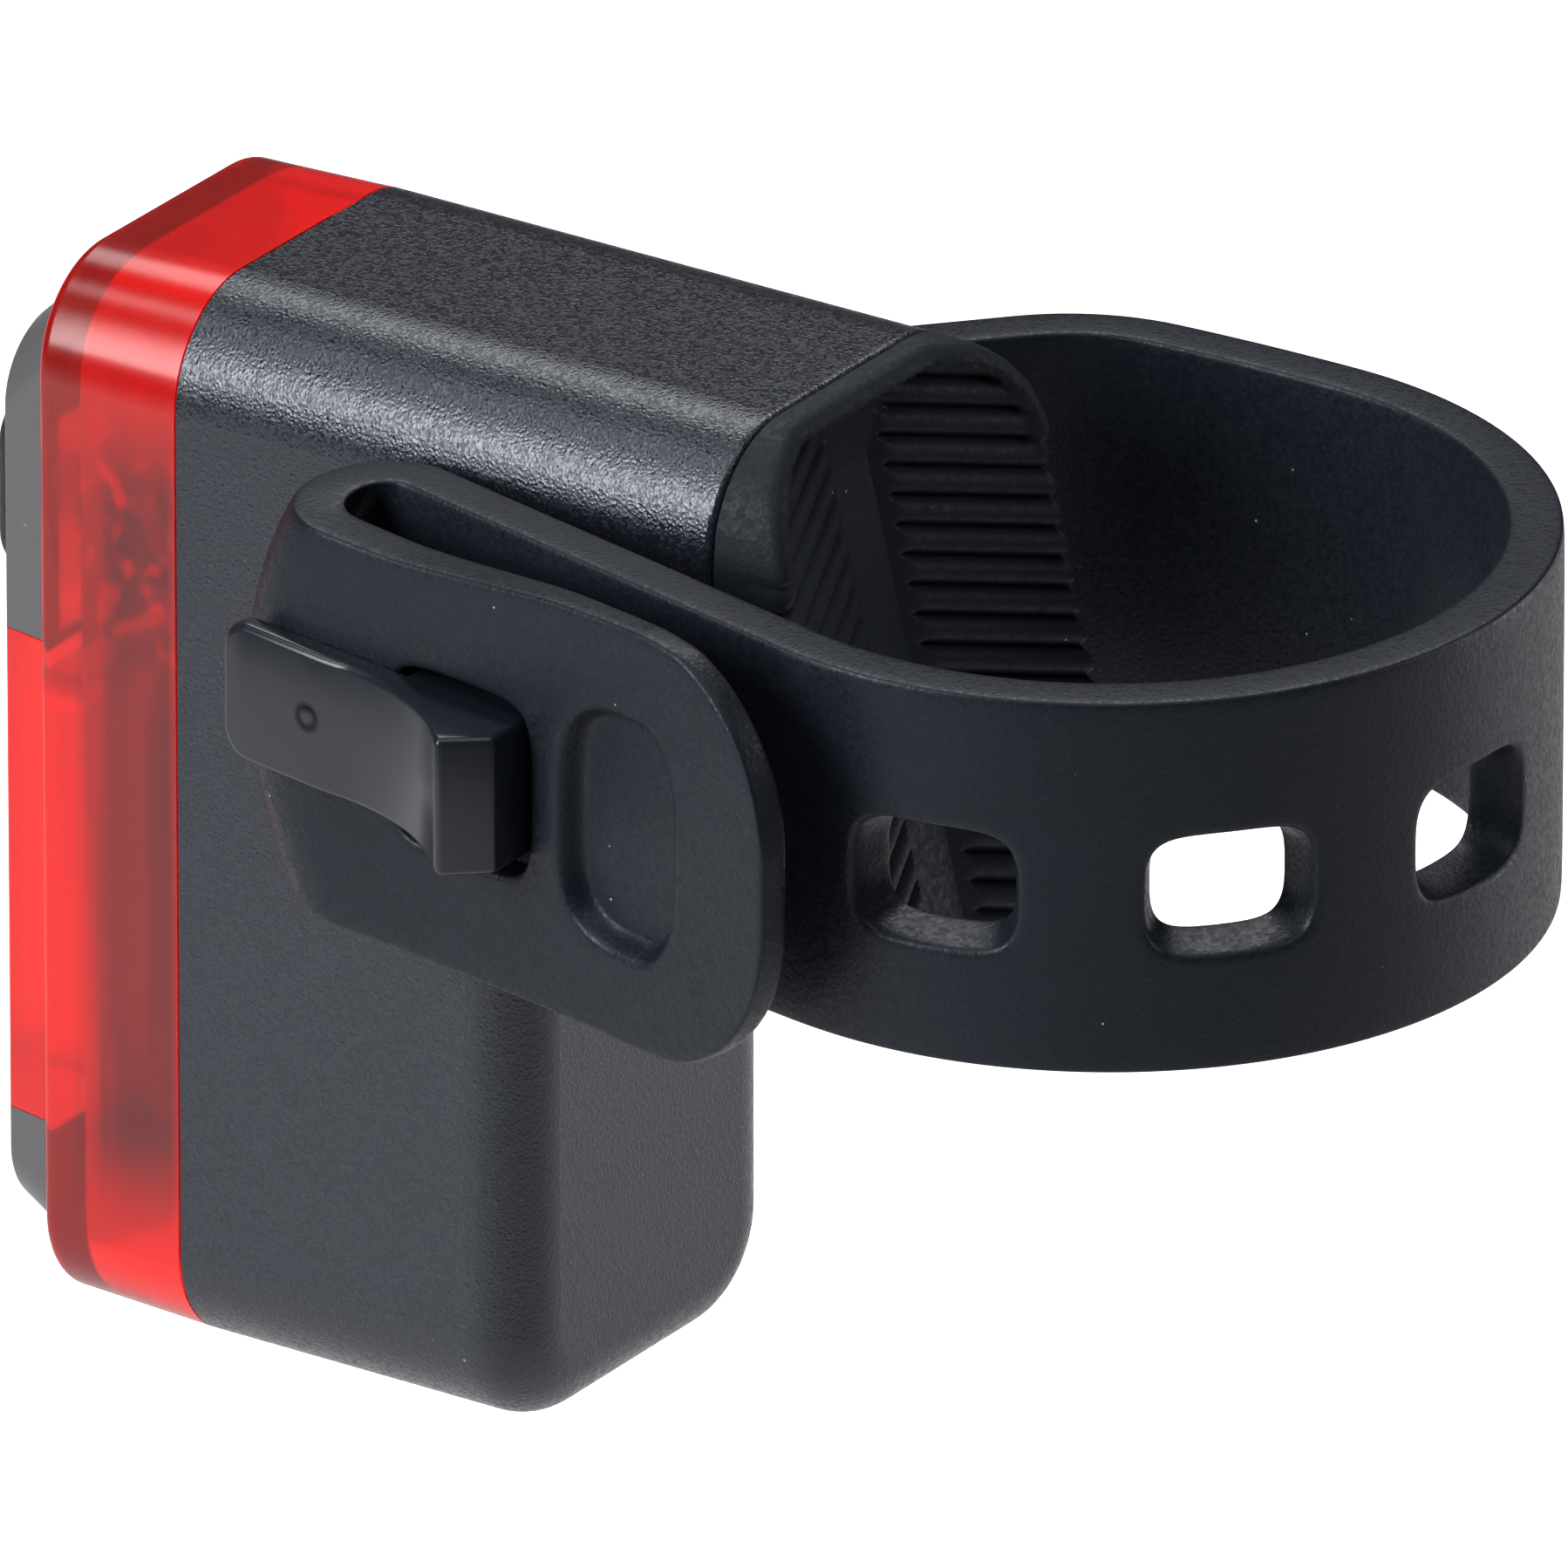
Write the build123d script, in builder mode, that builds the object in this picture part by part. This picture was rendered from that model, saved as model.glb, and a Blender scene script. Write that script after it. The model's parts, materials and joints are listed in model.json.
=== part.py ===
from build123d import *
from math import acos, atan2, cos, degrees, hypot, radians, sin, tan
import os

os.makedirs("parts", exist_ok=True)

# Frame: +Z up, the lens faces -Y, the hook is on the +X side. The origin is in the
# groove of the rubber cradle, on the middle plane, halfway up the strap.

# Body
body_width = 20.3
body_height = 50.9
corner_radius = 5.2
wall = 1.8
upper_depth = 28.4
lower_depth = 18.3
rear_radius = 3.0
block_height = 26.0
block_edge = 0.4
seam_gap = 0.05
overrun = 1.0
fit_gap = 0.1
free_gap = 0.3

# Strap
strap_rise = 12.15
strap_width = 17.6
strap_thickness = 2.5
strap_edge = 0.9
loop_radius = 17.4
loop_offset = 1.7
loop_depth = 41.5
fold_radius = 2.75
fold_lead = 5.6
strap_gap = 0.25
root_bend_depth = 22.0
root_bend_radius = 5.0
shoulder_depth = 29.0
shoulder_inset = 1.1
shoulder_radius = 9.0
tail_lean = 7.0
tail_radius = 165.0
tail_length = 28.5
tail_corner = 7.0
hole_length = 7.3
hole_height = 6.0
hole_radius = 1.2
hole_angles = (10.0, 48.0, 86.0)
spare_hole_depth = 32.5
hook_hole_length = 7.6
hook_hole_height = 8.4
grip_length = 7.3
grip_height = 10.5
grip_recess = 1.0
grip_radius = 2.5
grip_inset = 6.0

# Rubber cradle
pad_rise = 3.4
pad_tilt = 13.8
pad_rim = 0.9
pad_rim_height = 1.3
pad_blank_depth = 10.5
groove_half = 2.3
wing_slope = 0.39
rib_count = 17
rib_pitch = 1.34
rib_drop_angle = 15.5
rib_notch_height = 0.75
rib_notch_depth = 0.5
rib_start = 1.5
peg_diameter = 3.0
peg_head_diameter = 4.2
peg_head_length = 1.0
peg_spacing = 14.0

# Lens
lens_depth = 7.65
lens_draft = 2.0
lens_edge = 0.6
panel_inset = 1.5
panel_height = 3.2
panel_side_set = 0.6
panel_top_set = 3.0
panel_bottom_set = 1.5
panel_edge = 0.25
window_top_margin = 18.8
window_bottom_margin = 8.8
pocket_margin = 1.9

# Button and its switch
button_margin = 1.3
button_side_margin = 1.38
button_proud = 1.6
bezel_lead = 1.4
button_edge = 0.8
button_corner = 2.4
button_travel = 0.6
flange_thickness = 0.8
flange_lip = 0.5
button_gap = 0.2
stem_diameter = 3.0
bore_gap = 0.3
switch_size = 6.0
switch_height = 3.1
switch_corner = 0.5
slide_gap = 0.08
plunger_diameter = 2.6
plunger_height = 1.5
plunger_seat = 1.1

# Gasket
gasket_width = 0.8
gasket_height = 1.0

# Circuit board
board_depth = 2.0
board_thickness = 1.2
board_gap = 0.35
led_size = 3.0
led_height = 1.2
led_dome_share = 0.8
led_pitch_share = 0.34
side_led_width = 1.2
side_led_length = 2.0
side_led_height = 0.8
side_led_inset = 3.55
side_led_margins = (16.6, 6.7)

# Reflector and light guide
reflector_inset = 2.95
reflector_margin = 0.9
reflector_wall = 0.9
reflector_depth = 5.2
reflector_step = 0.4
guide_seat = 0.9
guide_thickness = 1.6
guide_dome = 0.6

# Battery
cell_inset = 3.15
cell_top_margin = 7.5
cell_bottom_margin = 10.5
cell_board_gap = 2.0
cell_edge = 2.2
cell_rim = 0.6
cradle_wall = 1.2
cradle_side = 0.9
shelf_reach_share = 0.75
tab_width = 2.2
tab_thickness = 0.25
tab_foot = 3.0
tab_offset = 3.0
tab_margin = 9.5

# Charging socket and its cover
socket_width = 9.0
socket_thickness = 3.2
socket_length = 7.0
socket_wall = 0.3
socket_round = 1.4
tongue_thickness = 0.7
tongue_base = 1.2
tongue_share = 0.85
tongue_width_share = 0.8
port_gap = 0.4
cover_side_margin = 1.3
cover_margin = 1.9
cover_thickness = 0.9
cover_gap = 0.25
cover_plug_height = 0.9
cover_plug_gap = 0.35
nail_radius = 1.6
nail_depth = 0.4

# Screws and their posts
screw_diameter = 1.6
screw_length = 5.0
screw_head_diameter = 3.0
screw_head_height = 0.9
screw_slot_width = 0.5
screw_slot_share = 0.5
post_diameter = 3.2
top_post_margin = 4.0
low_post_margin = 5.0
low_post_gap = 0.2

# Hook
hook_height = 7.0
hook_gap = 0.2
hook_length = 6.1
hook_reach = 9.1
hook_throat = 9.1
hook_tip_under = 8.7
hook_tip_rise = 10.05
hook_ramp_rise = 10.65
hook_ramp_lead = 0.7
hook_ridge_lead = 1.8
hook_ridge_rise = 13.85
hook_back_rise = 12.35
hook_edge = 0.3
hook_corner = 1.4
hook_ramp_sag = 0.9
spigot_diameter = 4.0
anchor_screw_diameter = 2.0
anchor_screw_length = 5.0
anchor_head_diameter = 4.8
anchor_head_height = 1.2

# Stud on the far side
stud_depth = 15.3
stud_neck_diameter = 5.0
stud_head_diameter = 9.0
stud_head_height = 2.0
stud_edge = 0.5

# Places worked out from the sizes above
half_width = body_width / 2
half_height = body_height / 2
hook_front = lower_depth + hook_gap
hook_back = hook_front + hook_length
hook_tip = hook_front - hook_reach
hook_ramp_start = hook_front - hook_ramp_lead
hook_ridge = hook_back - hook_ridge_lead
fold_depth = hook_front - fold_lead
seam_y = -(upper_depth + pad_rise)
mid_z = -strap_rise
bottom_z = mid_z - half_height
block_middle = half_height - block_height / 2
board_back = board_depth + board_thickness
lens_front = -lens_depth
band_half = strap_thickness / 2
mid_radius = loop_radius + band_half
cell_back = lower_depth - wall - cradle_wall - free_gap
cell_front = board_back + cell_board_gap
cell_thickness = cell_back - cell_front
cell_width = body_width - 2 * cell_inset
cell_height = body_height - cell_top_margin - cell_bottom_margin
cell_rise = (cell_bottom_margin - cell_top_margin) / 2
tab_rise = cell_rise + cell_height / 2 - tab_margin
shelf_reach = cell_thickness * shelf_reach_share
cradle_width = cell_width + 2 * (free_gap + cradle_side)
cradle_height = cell_height + 2 * (free_gap + cradle_wall)
top_post_rise = half_height - top_post_margin
low_post_rise = low_post_margin - half_height
low_post_offset = (socket_width + post_diameter) / 2 + low_post_gap
low_posts = [(-low_post_offset, low_post_rise), (low_post_offset, low_post_rise)]
board_posts = low_posts + [(0, top_post_rise)]
window_top = half_height - window_top_margin
window_bottom = window_bottom_margin - half_height
reflector_width = body_width - 2 * reflector_inset
reflector_height = window_top - window_bottom - 2 * reflector_margin
led_rise = (window_top + window_bottom) / 2
led_pitch = reflector_height * led_pitch_share
led_rises = [led_rise + step * led_pitch for step in (-1, 0, 1)]
side_led_offset = half_width - side_led_inset
side_led_rises = [half_height - margin for margin in side_led_margins]
reflector_inner_width = reflector_width - 2 * (reflector_wall + reflector_step)
reflector_inner_height = reflector_height - 2 * (reflector_wall + reflector_step)
guide_width = reflector_width - 2 * reflector_wall
guide_height = reflector_height - 2 * reflector_wall
port_width = socket_width + 2 * port_gap
port_length = socket_thickness + 2 * port_gap
cover_width = port_width + 2 * cover_side_margin
port_middle = board_back + socket_thickness / 2
cover_length = port_length + 2 * cover_margin
cover_front = port_middle - cover_length / 2
socket_bottom = bottom_z + wall + free_gap
peg_rises = (block_middle - peg_spacing / 2, block_middle + peg_spacing / 2)
flange_lift = button_travel + fit_gap
button_height = switch_size + 2 * bezel_lead
button_rise = window_top + button_margin + button_height / 2
plunger_front = board_depth - switch_height - plunger_height
plunger_room = plunger_seat + button_travel + bore_gap
lens_shrink = lens_depth * tan(radians(lens_draft))
panel_width = body_width - 2 * (lens_shrink + panel_inset)
panel_length = body_height - 2 * (lens_shrink + panel_inset)
panel_radius = corner_radius - panel_inset
panel_top_width = panel_width - 2 * panel_side_set
panel_top_length = panel_length - panel_top_set - panel_bottom_set
panel_top_rise = (panel_bottom_set - panel_top_set) / 2
button_width = panel_top_width - 2 * button_side_margin
hook_middle = (hook_front + hook_back) / 2
hook_x = half_width
stud_neck_length = strap_gap + strap_thickness + fit_gap
stud_seat_x = -half_width - stud_neck_length - stud_head_height + anchor_head_height
root_depth = stud_depth - strap_width / 2
hole_reach = strap_thickness + overrun


def front(depth, x=0, rise=0):
    """A plane that faces the lens side, at a depth behind the seam."""
    return Plane(origin=(x, seam_y + depth, mid_z + rise), x_dir=(1, 0, 0), z_dir=(0, -1, 0))


def rear(depth, x=0, rise=0):
    """A plane that faces the cradle side, at a depth behind the seam."""
    return Plane(origin=(x, seam_y + depth, mid_z + rise), x_dir=(-1, 0, 0), z_dir=(0, 1, 0))


def side(x, depth, rise=0):
    """A plane that faces the hook side, upright, at a depth behind the seam."""
    return Plane(origin=(x, seam_y + depth, mid_z + rise), x_dir=(0, 1, 0), z_dir=(1, 0, 0))


def far_side(x, depth, rise=0):
    """A plane that faces the far side, upright, at a depth behind the seam."""
    return Plane(origin=(x, seam_y + depth, mid_z + rise), x_dir=(0, -1, 0), z_dir=(-1, 0, 0))


def body_outline(inset):
    """The body's rounded rectangle, drawn in the sketch that is open."""
    RectangleRounded(body_width - 2 * inset, body_height - 2 * inset, corner_radius - inset)


def body_outline_inner(inset):
    """The same outline further in, cut from the sketch that is open."""
    RectangleRounded(
        body_width - 2 * inset, body_height - 2 * inset, corner_radius - inset, mode=Mode.SUBTRACT
    )


def block_outline(inset):
    """The upper block's outline, drawn in the sketch that is open, on the block's middle."""
    RectangleRounded(body_width - 2 * inset, block_height - 2 * inset, corner_radius - inset)


# Strap route, in plan, as distances to the hook side and behind the seam
fold_x = half_width + strap_gap + band_half + fold_radius
centre_gap = hypot(fold_x + loop_offset, loop_depth - fold_depth)
centre_turn = degrees(atan2(loop_depth - fold_depth, fold_x + loop_offset))
strap_lean = centre_turn - degrees(acos((mid_radius + fold_radius) / centre_gap))
root_x = -(half_width + strap_gap + band_half)
shoulder_x = -(loop_offset + mid_radius) + shoulder_inset


def plan(x, depth):
    """A point in plan, from its distance to the hook side and behind the seam."""
    return (x, seam_y + depth)


def around(centre_x, centre_depth, radius, angle):
    """A point in plan on a circle, its angle counted from the hook side to the rear."""
    turn = radians(angle)
    return plan(centre_x + radius * cos(turn), centre_depth + radius * sin(turn))


near_tangent = around(-loop_offset, loop_depth, mid_radius, -strap_lean)
fold_start = around(fold_x, fold_depth, fold_radius, 180 - strap_lean)
fold_turn = 180 + strap_lean - tail_lean
fold_end = around(fold_x, fold_depth, fold_radius, -tail_lean)
tail_start_direction = (sin(radians(tail_lean)), cos(radians(tail_lean)))
tail_turn = degrees(tail_length / tail_radius)
tail_centre = (
    fold_end[0] + tail_radius * cos(radians(tail_lean)),
    fold_end[1] - tail_radius * sin(radians(tail_lean)),
)


def tail_plane(length, lift):
    """A plane on the tail that faces outwards, at a length from the fold."""
    lean = radians(tail_lean + degrees(length / tail_radius))
    outward = Vector(cos(lean), -sin(lean), 0)
    centre = Vector(tail_centre[0], tail_centre[1], 0)
    point = centre - outward * (tail_radius - lift)
    return Plane(origin=point, x_dir=(sin(lean), cos(lean), 0), z_dir=(outward.X, outward.Y, 0))


def loop_plane(angle):
    """A plane that faces outwards from the loop's centre, on the loop's middle line."""
    x, y = around(-loop_offset, loop_depth, mid_radius, angle)
    turn = radians(angle)
    return Plane(origin=(x, y, 0), x_dir=(-sin(turn), cos(turn), 0), z_dir=(cos(turn), sin(turn), 0))


def near_plane(depth):
    """A plane on the strap's straight near run that faces outwards, at a depth."""
    lean = radians(strap_lean)
    along = (depth + seam_y - fold_start[1]) / cos(lean)
    x = fold_start[0] + along * sin(lean)
    y = fold_start[1] + along * cos(lean)
    return Plane(origin=(x, y, 0), x_dir=(sin(lean), cos(lean), 0), z_dir=(cos(lean), -sin(lean), 0))


groove_plane = Plane(
    origin=(0, 0, 0),
    x_dir=(1, 0, 0),
    z_dir=(0, -sin(radians(pad_tilt)), cos(radians(pad_tilt))),
)
v_reach = body_width
v_outline = [
    (-v_reach, body_width),
    (-v_reach, wing_slope * (v_reach - groove_half)),
    (-groove_half, 0),
    (groove_half, 0),
    (v_reach, wing_slope * (v_reach - groove_half)),
    (v_reach, body_width),
]
rim_level = (body_height / 2 - pad_rim_height - strap_rise) / cos(radians(pad_tilt))
notch_flare = 1 + overrun / rib_notch_depth
notch_outline = [
    (-rib_notch_depth, 0),
    (overrun, notch_flare * rib_notch_height / 2),
    (overrun, -notch_flare * rib_notch_height / 2),
]


def notch_plane(hand, number):
    """A plane across a rib's direction, where the rib leaves the groove on one wing."""
    level = rim_level - rib_start - number * rib_pitch
    along = (
        groove_plane.x_dir * hand
        + groove_plane.y_dir * wing_slope
        - groove_plane.z_dir * tan(radians(rib_drop_angle))
    )
    outward = groove_plane.y_dir - groove_plane.x_dir * (hand * wing_slope)
    start = groove_plane.x_dir * (hand * groove_half) + groove_plane.z_dir * level
    return Plane(origin=start, x_dir=outward, z_dir=along)


ridge = plan(hook_x + hook_ridge_rise, hook_ridge)
ramp_foot = plan(hook_x + hook_ramp_rise, hook_ramp_start)

with BuildPart() as strap:
    with BuildLine() as route:
        FilletPolyline(
            plan(root_x, root_depth),
            plan(root_x, root_bend_depth),
            plan(shoulder_x, shoulder_depth),
            around(-loop_offset, loop_depth, mid_radius, 180),
            radius=(root_bend_radius, shoulder_radius),
        )
        ThreePointArc(
            around(-loop_offset, loop_depth, mid_radius, 180),
            around(-loop_offset, loop_depth, mid_radius, 90),
            near_tangent,
        )
        Line(near_tangent, fold_start)
        ThreePointArc(
            fold_start,
            around(fold_x, fold_depth, fold_radius, 180 - strap_lean + fold_turn / 2),
            fold_end,
        )
        JernArc(fold_end, tail_start_direction, tail_radius, -tail_turn)
    with BuildSketch(rear(root_depth, root_x, strap_rise)):
        RectangleRounded(strap_thickness, strap_width, strap_edge)
    sweep(path=route.line)
    # Rounded corners at the tail's end and at the root's end
    with BuildSketch(tail_plane(tail_length - tail_corner, -hole_reach)):
        with Locations((tail_corner, 0)):
            Rectangle(2 * tail_corner, strap_width + 2 * overrun)
        with Locations((-tail_corner, 0)):
            RectangleRounded(4 * tail_corner, strap_width, tail_corner, mode=Mode.SUBTRACT)
    extrude(amount=2 * hole_reach, mode=Mode.SUBTRACT)
    with BuildSketch(side(root_x - hole_reach, root_depth + strap_width / 2, strap_rise)):
        Rectangle(strap_width + 2 * overrun, strap_width + 2 * overrun)
        Circle(strap_width / 2, mode=Mode.SUBTRACT)
        with Locations((strap_width / 2, 0)):
            Rectangle(strap_width, strap_width + 2 * overrun, mode=Mode.SUBTRACT)
    extrude(amount=2 * hole_reach, mode=Mode.SUBTRACT)
    # Holes for other posts, then the ones that the hook and the stud use
    hole_planes = [loop_plane(angle) for angle in hole_angles] + [near_plane(spare_hole_depth)]
    for plane in hole_planes:
        with BuildSketch(plane.offset(-hole_reach)):
            RectangleRounded(hole_length, hole_height, hole_radius)
        extrude(amount=2 * hole_reach, mode=Mode.SUBTRACT)
    with BuildSketch(near_plane(hook_middle).offset(-hole_reach)):
        RectangleRounded(hook_hole_length, hook_hole_height, hole_radius)
    extrude(amount=2 * hole_reach, mode=Mode.SUBTRACT)
    hook_along = (hook_middle + seam_y - fold_end[1]) / cos(radians(tail_lean))
    with BuildSketch(tail_plane(hook_along, -hole_reach)):
        RectangleRounded(hook_hole_length, hook_hole_height, hole_radius)
    extrude(amount=2 * hole_reach, mode=Mode.SUBTRACT)
    with BuildSketch(side(root_x - hole_reach, stud_depth, strap_rise)):
        Circle(stud_neck_diameter / 2 + bore_gap)
    extrude(amount=2 * hole_reach, mode=Mode.SUBTRACT)
    # Finger recess in the tail
    grip_along = tail_length - grip_inset - grip_length / 2
    with BuildSketch(tail_plane(grip_along, band_half - grip_recess)):
        RectangleRounded(grip_length, grip_height, grip_radius)
    extrude(amount=grip_recess + overrun, mode=Mode.SUBTRACT)

with BuildPart() as housing_shell:
    with BuildSketch(rear(seam_gap)):
        body_outline(0)
    extrude(amount=lower_depth - seam_gap)
    fillet(housing_shell.faces().sort_by(Axis.Y)[-1].edges(), rear_radius)
    with BuildSketch(rear(lower_depth / 2, rise=block_middle)):
        block_outline(0)
    extrude(amount=upper_depth - lower_depth / 2)
    fillet(housing_shell.faces().sort_by(Axis.Y)[-1].edges(), block_edge)
    # Room for the inside, and the seat of the gasket
    with BuildSketch(rear(0)):
        body_outline(wall)
    extrude(amount=lower_depth - wall, mode=Mode.SUBTRACT)
    with BuildSketch(rear(lower_depth / 2, rise=block_middle)):
        block_outline(wall)
    extrude(amount=upper_depth - wall - lower_depth / 2, mode=Mode.SUBTRACT)
    with BuildSketch(rear(0)):
        body_outline(wall - gasket_width)
    extrude(amount=gasket_height / 2, mode=Mode.SUBTRACT)
    # Posts for the circuit board
    with BuildSketch(rear(board_back)):
        for x, rise in low_posts:
            with Locations((-x, rise)):
                Circle(post_diameter / 2)
    extrude(amount=lower_depth - wall / 2 - board_back)
    with BuildSketch(rear(board_back, rise=top_post_rise)):
        Circle(post_diameter / 2)
        with Locations((0, post_diameter / 2)):
            Rectangle(post_diameter / 2, post_diameter)
    extrude(amount=screw_length + overrun)
    with BuildSketch(rear(board_back)):
        for x, rise in board_posts:
            with Locations((-x, rise)):
                Circle(screw_diameter / 2 + fit_gap / 2)
    extrude(amount=screw_length, mode=Mode.SUBTRACT)
    # Charging port, with the seat of its cover
    with BuildSketch(rear(cover_front - cover_gap)):
        body_outline(-overrun)
        body_outline_inner(cover_thickness + cover_gap)
        with Locations((0, -body_height / 2)):
            Rectangle(cover_width + 2 * cover_gap, 2 * corner_radius, mode=Mode.INTERSECT)
    extrude(amount=cover_length + 2 * cover_gap, mode=Mode.SUBTRACT)
    with BuildSketch(Plane.XY.offset(bottom_z)):
        with Locations((0, seam_y + port_middle)):
            Rectangle(port_width, port_length)
    extrude(amount=wall + overrun / 2, mode=Mode.SUBTRACT)
    # Holes for the hook's spigot, the stud's screw and the cradle's pegs
    with BuildSketch(side(0, hook_middle, strap_rise)):
        Circle(spigot_diameter / 2 + fit_gap)
    extrude(amount=half_width + overrun, mode=Mode.SUBTRACT)
    with BuildSketch(side(-half_width - overrun, stud_depth, strap_rise)):
        Circle(anchor_screw_diameter / 2 + fit_gap / 2)
    extrude(amount=wall + 2 * overrun, mode=Mode.SUBTRACT)
    with BuildSketch(rear(upper_depth - wall - overrun)):
        for rise in peg_rises:
            with Locations((0, rise)):
                Circle(peg_diameter / 2 + fit_gap)
    extrude(amount=wall + 2 * overrun, mode=Mode.SUBTRACT)

with BuildPart() as port_cover:
    with BuildSketch(rear(cover_front)):
        body_outline(0)
        body_outline_inner(cover_thickness)
        with Locations((0, -body_height / 2)):
            Rectangle(cover_width, 2 * corner_radius, mode=Mode.INTERSECT)
    extrude(amount=cover_length)
    # The plug that fills the port
    with BuildSketch(Plane.XY.offset(bottom_z + cover_thickness / 2)):
        with Locations((0, seam_y + port_middle)):
            RectangleRounded(
                port_width - 2 * cover_plug_gap, port_length - 2 * cover_plug_gap, cover_plug_gap
            )
    extrude(amount=cover_thickness / 2 + cover_plug_height)
    # The notch for a fingernail at the free edge
    with BuildSketch(Plane.XY.offset(bottom_z)):
        with Locations((0, seam_y + cover_front)):
            Circle(nail_radius)
    extrude(amount=nail_depth, mode=Mode.SUBTRACT)

with BuildPart() as seatpost_pad:
    with BuildSketch(rear(upper_depth + fit_gap, rise=block_middle)):
        block_outline(0)
    extrude(amount=pad_blank_depth)
    # The shallow V, first as high as the top rim, then as deep as the ribs
    with BuildSketch(groove_plane.offset(-body_height)):
        with BuildLine():
            Polyline(*[(x, y + pad_rim) for x, y in v_outline], close=True)
        make_face()
    extrude(amount=2 * body_height, mode=Mode.SUBTRACT)
    with BuildSketch(groove_plane.offset(-body_height)):
        with BuildLine():
            Polyline(*v_outline, close=True)
        make_face()
    extrude(amount=body_height + rim_level, mode=Mode.SUBTRACT)
    # Notches between the ribs, running down and outwards on both wings
    for hand in (-1, 1):
        for number in range(rib_count):
            with BuildSketch(notch_plane(hand, number)):
                with BuildLine():
                    Polyline(*notch_outline, close=True)
                make_face()
            extrude(amount=body_width, mode=Mode.SUBTRACT)
    # Pegs with heads, pushed through the housing's rear wall
    with BuildSketch(front(upper_depth + fit_gap)):
        for rise in peg_rises:
            with Locations((0, rise)):
                Circle(peg_diameter / 2)
    extrude(amount=wall + 2 * fit_gap)
    with BuildSketch(front(upper_depth - wall - fit_gap)):
        for rise in peg_rises:
            with Locations((0, rise)):
                Circle(peg_head_diameter / 2)
    extrude(amount=peg_head_length)

with BuildPart() as strap_hook:
    with BuildSketch(Plane.XY.offset(-hook_height / 2)):
        with BuildLine():
            Line(plan(hook_x, hook_front), plan(hook_x, hook_back))
            Line(plan(hook_x, hook_back), plan(hook_x + hook_back_rise, hook_back))
            Line(plan(hook_x + hook_back_rise, hook_back), ridge)
            SagittaArc(ridge, ramp_foot, -hook_ramp_sag)
            Line(ramp_foot, plan(hook_x + hook_tip_rise, hook_tip))
            Line(plan(hook_x + hook_tip_rise, hook_tip), plan(hook_x + hook_tip_under, hook_tip))
            Line(plan(hook_x + hook_tip_under, hook_tip), plan(hook_x + hook_throat, hook_front))
            Line(plan(hook_x + hook_throat, hook_front), plan(hook_x, hook_front))
        make_face()
    extrude(amount=hook_height)
    fillet(strap_hook.faces().sort_by(Axis.Y)[0].edges().filter_by(Axis.X), hook_corner)
    rims = strap_hook.faces().filter_by(Axis.Z).edges()
    fillet(rims.filter_by(lambda rim: rim.center().X > hook_x + wall), hook_edge)
    # The spigot in the housing's side wall, with the hole of its screw
    with BuildSketch(far_side(hook_x, hook_middle, strap_rise)):
        Circle(spigot_diameter / 2)
    extrude(amount=wall)
    with BuildSketch(side(hook_x - wall, hook_middle, strap_rise)):
        Circle(anchor_screw_diameter / 2 + fit_gap / 2)
    extrude(amount=anchor_screw_length + fit_gap, mode=Mode.SUBTRACT)

with BuildPart() as strap_stud:
    with BuildSketch(far_side(-half_width, stud_depth, strap_rise)):
        Circle(stud_neck_diameter / 2)
    extrude(amount=stud_neck_length)
    with BuildSketch(far_side(-half_width - stud_neck_length, stud_depth, strap_rise)):
        Circle(stud_head_diameter / 2)
    extrude(amount=stud_head_height)
    fillet(strap_stud.faces().sort_by(Axis.X)[0].edges(), stud_edge)
    with BuildSketch(far_side(stud_seat_x, stud_depth, strap_rise)):
        Circle(anchor_head_diameter / 2 + fit_gap)
    extrude(amount=anchor_head_height + overrun, mode=Mode.SUBTRACT)
    with BuildSketch(side(stud_seat_x - overrun, stud_depth, strap_rise)):
        Circle(anchor_screw_diameter / 2 + fit_gap / 2)
    extrude(amount=stud_neck_length + 2 * overrun, mode=Mode.SUBTRACT)


with BuildPart() as anchor_screws:
    # The hook's screw from inside the housing, and the stud's from outside
    for x, depth in ((half_width - wall, hook_middle), (stud_seat_x, stud_depth)):
        with BuildSketch(far_side(x, depth, strap_rise)):
            Circle(anchor_head_diameter / 2)
        extrude(amount=anchor_head_height)
        with BuildSketch(far_side(x, depth, strap_rise)):
            Circle(anchor_screw_diameter / 2)
        extrude(amount=-anchor_screw_length)
        with BuildSketch(far_side(x - anchor_head_height * (1 - screw_slot_share), depth, strap_rise)):
            Rectangle(anchor_head_diameter, screw_slot_width)
            Rectangle(screw_slot_width, anchor_head_diameter)
        extrude(amount=anchor_head_height, mode=Mode.SUBTRACT)

with BuildPart() as panel_blank:
    with BuildSketch(front(lens_front)):
        RectangleRounded(panel_width, panel_length, panel_radius)
    with BuildSketch(front(lens_front - panel_height, rise=panel_top_rise)):
        RectangleRounded(panel_top_width, panel_top_length, panel_radius)
    loft()
    fillet(panel_blank.faces().sort_by(Axis.Y)[0].edges(), panel_edge)


def panel_slice(low, high):
    """The stretch of the raised front panel between two heights, added to the open part."""
    add(panel_blank.part)
    split(bisect_by=Plane.XY.offset(mid_z + high), keep=Keep.BOTTOM)
    split(bisect_by=Plane.XY.offset(mid_z + low), keep=Keep.TOP)


with BuildPart() as lens_window:
    panel_slice(window_bottom + seam_gap, window_top - seam_gap)

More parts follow.
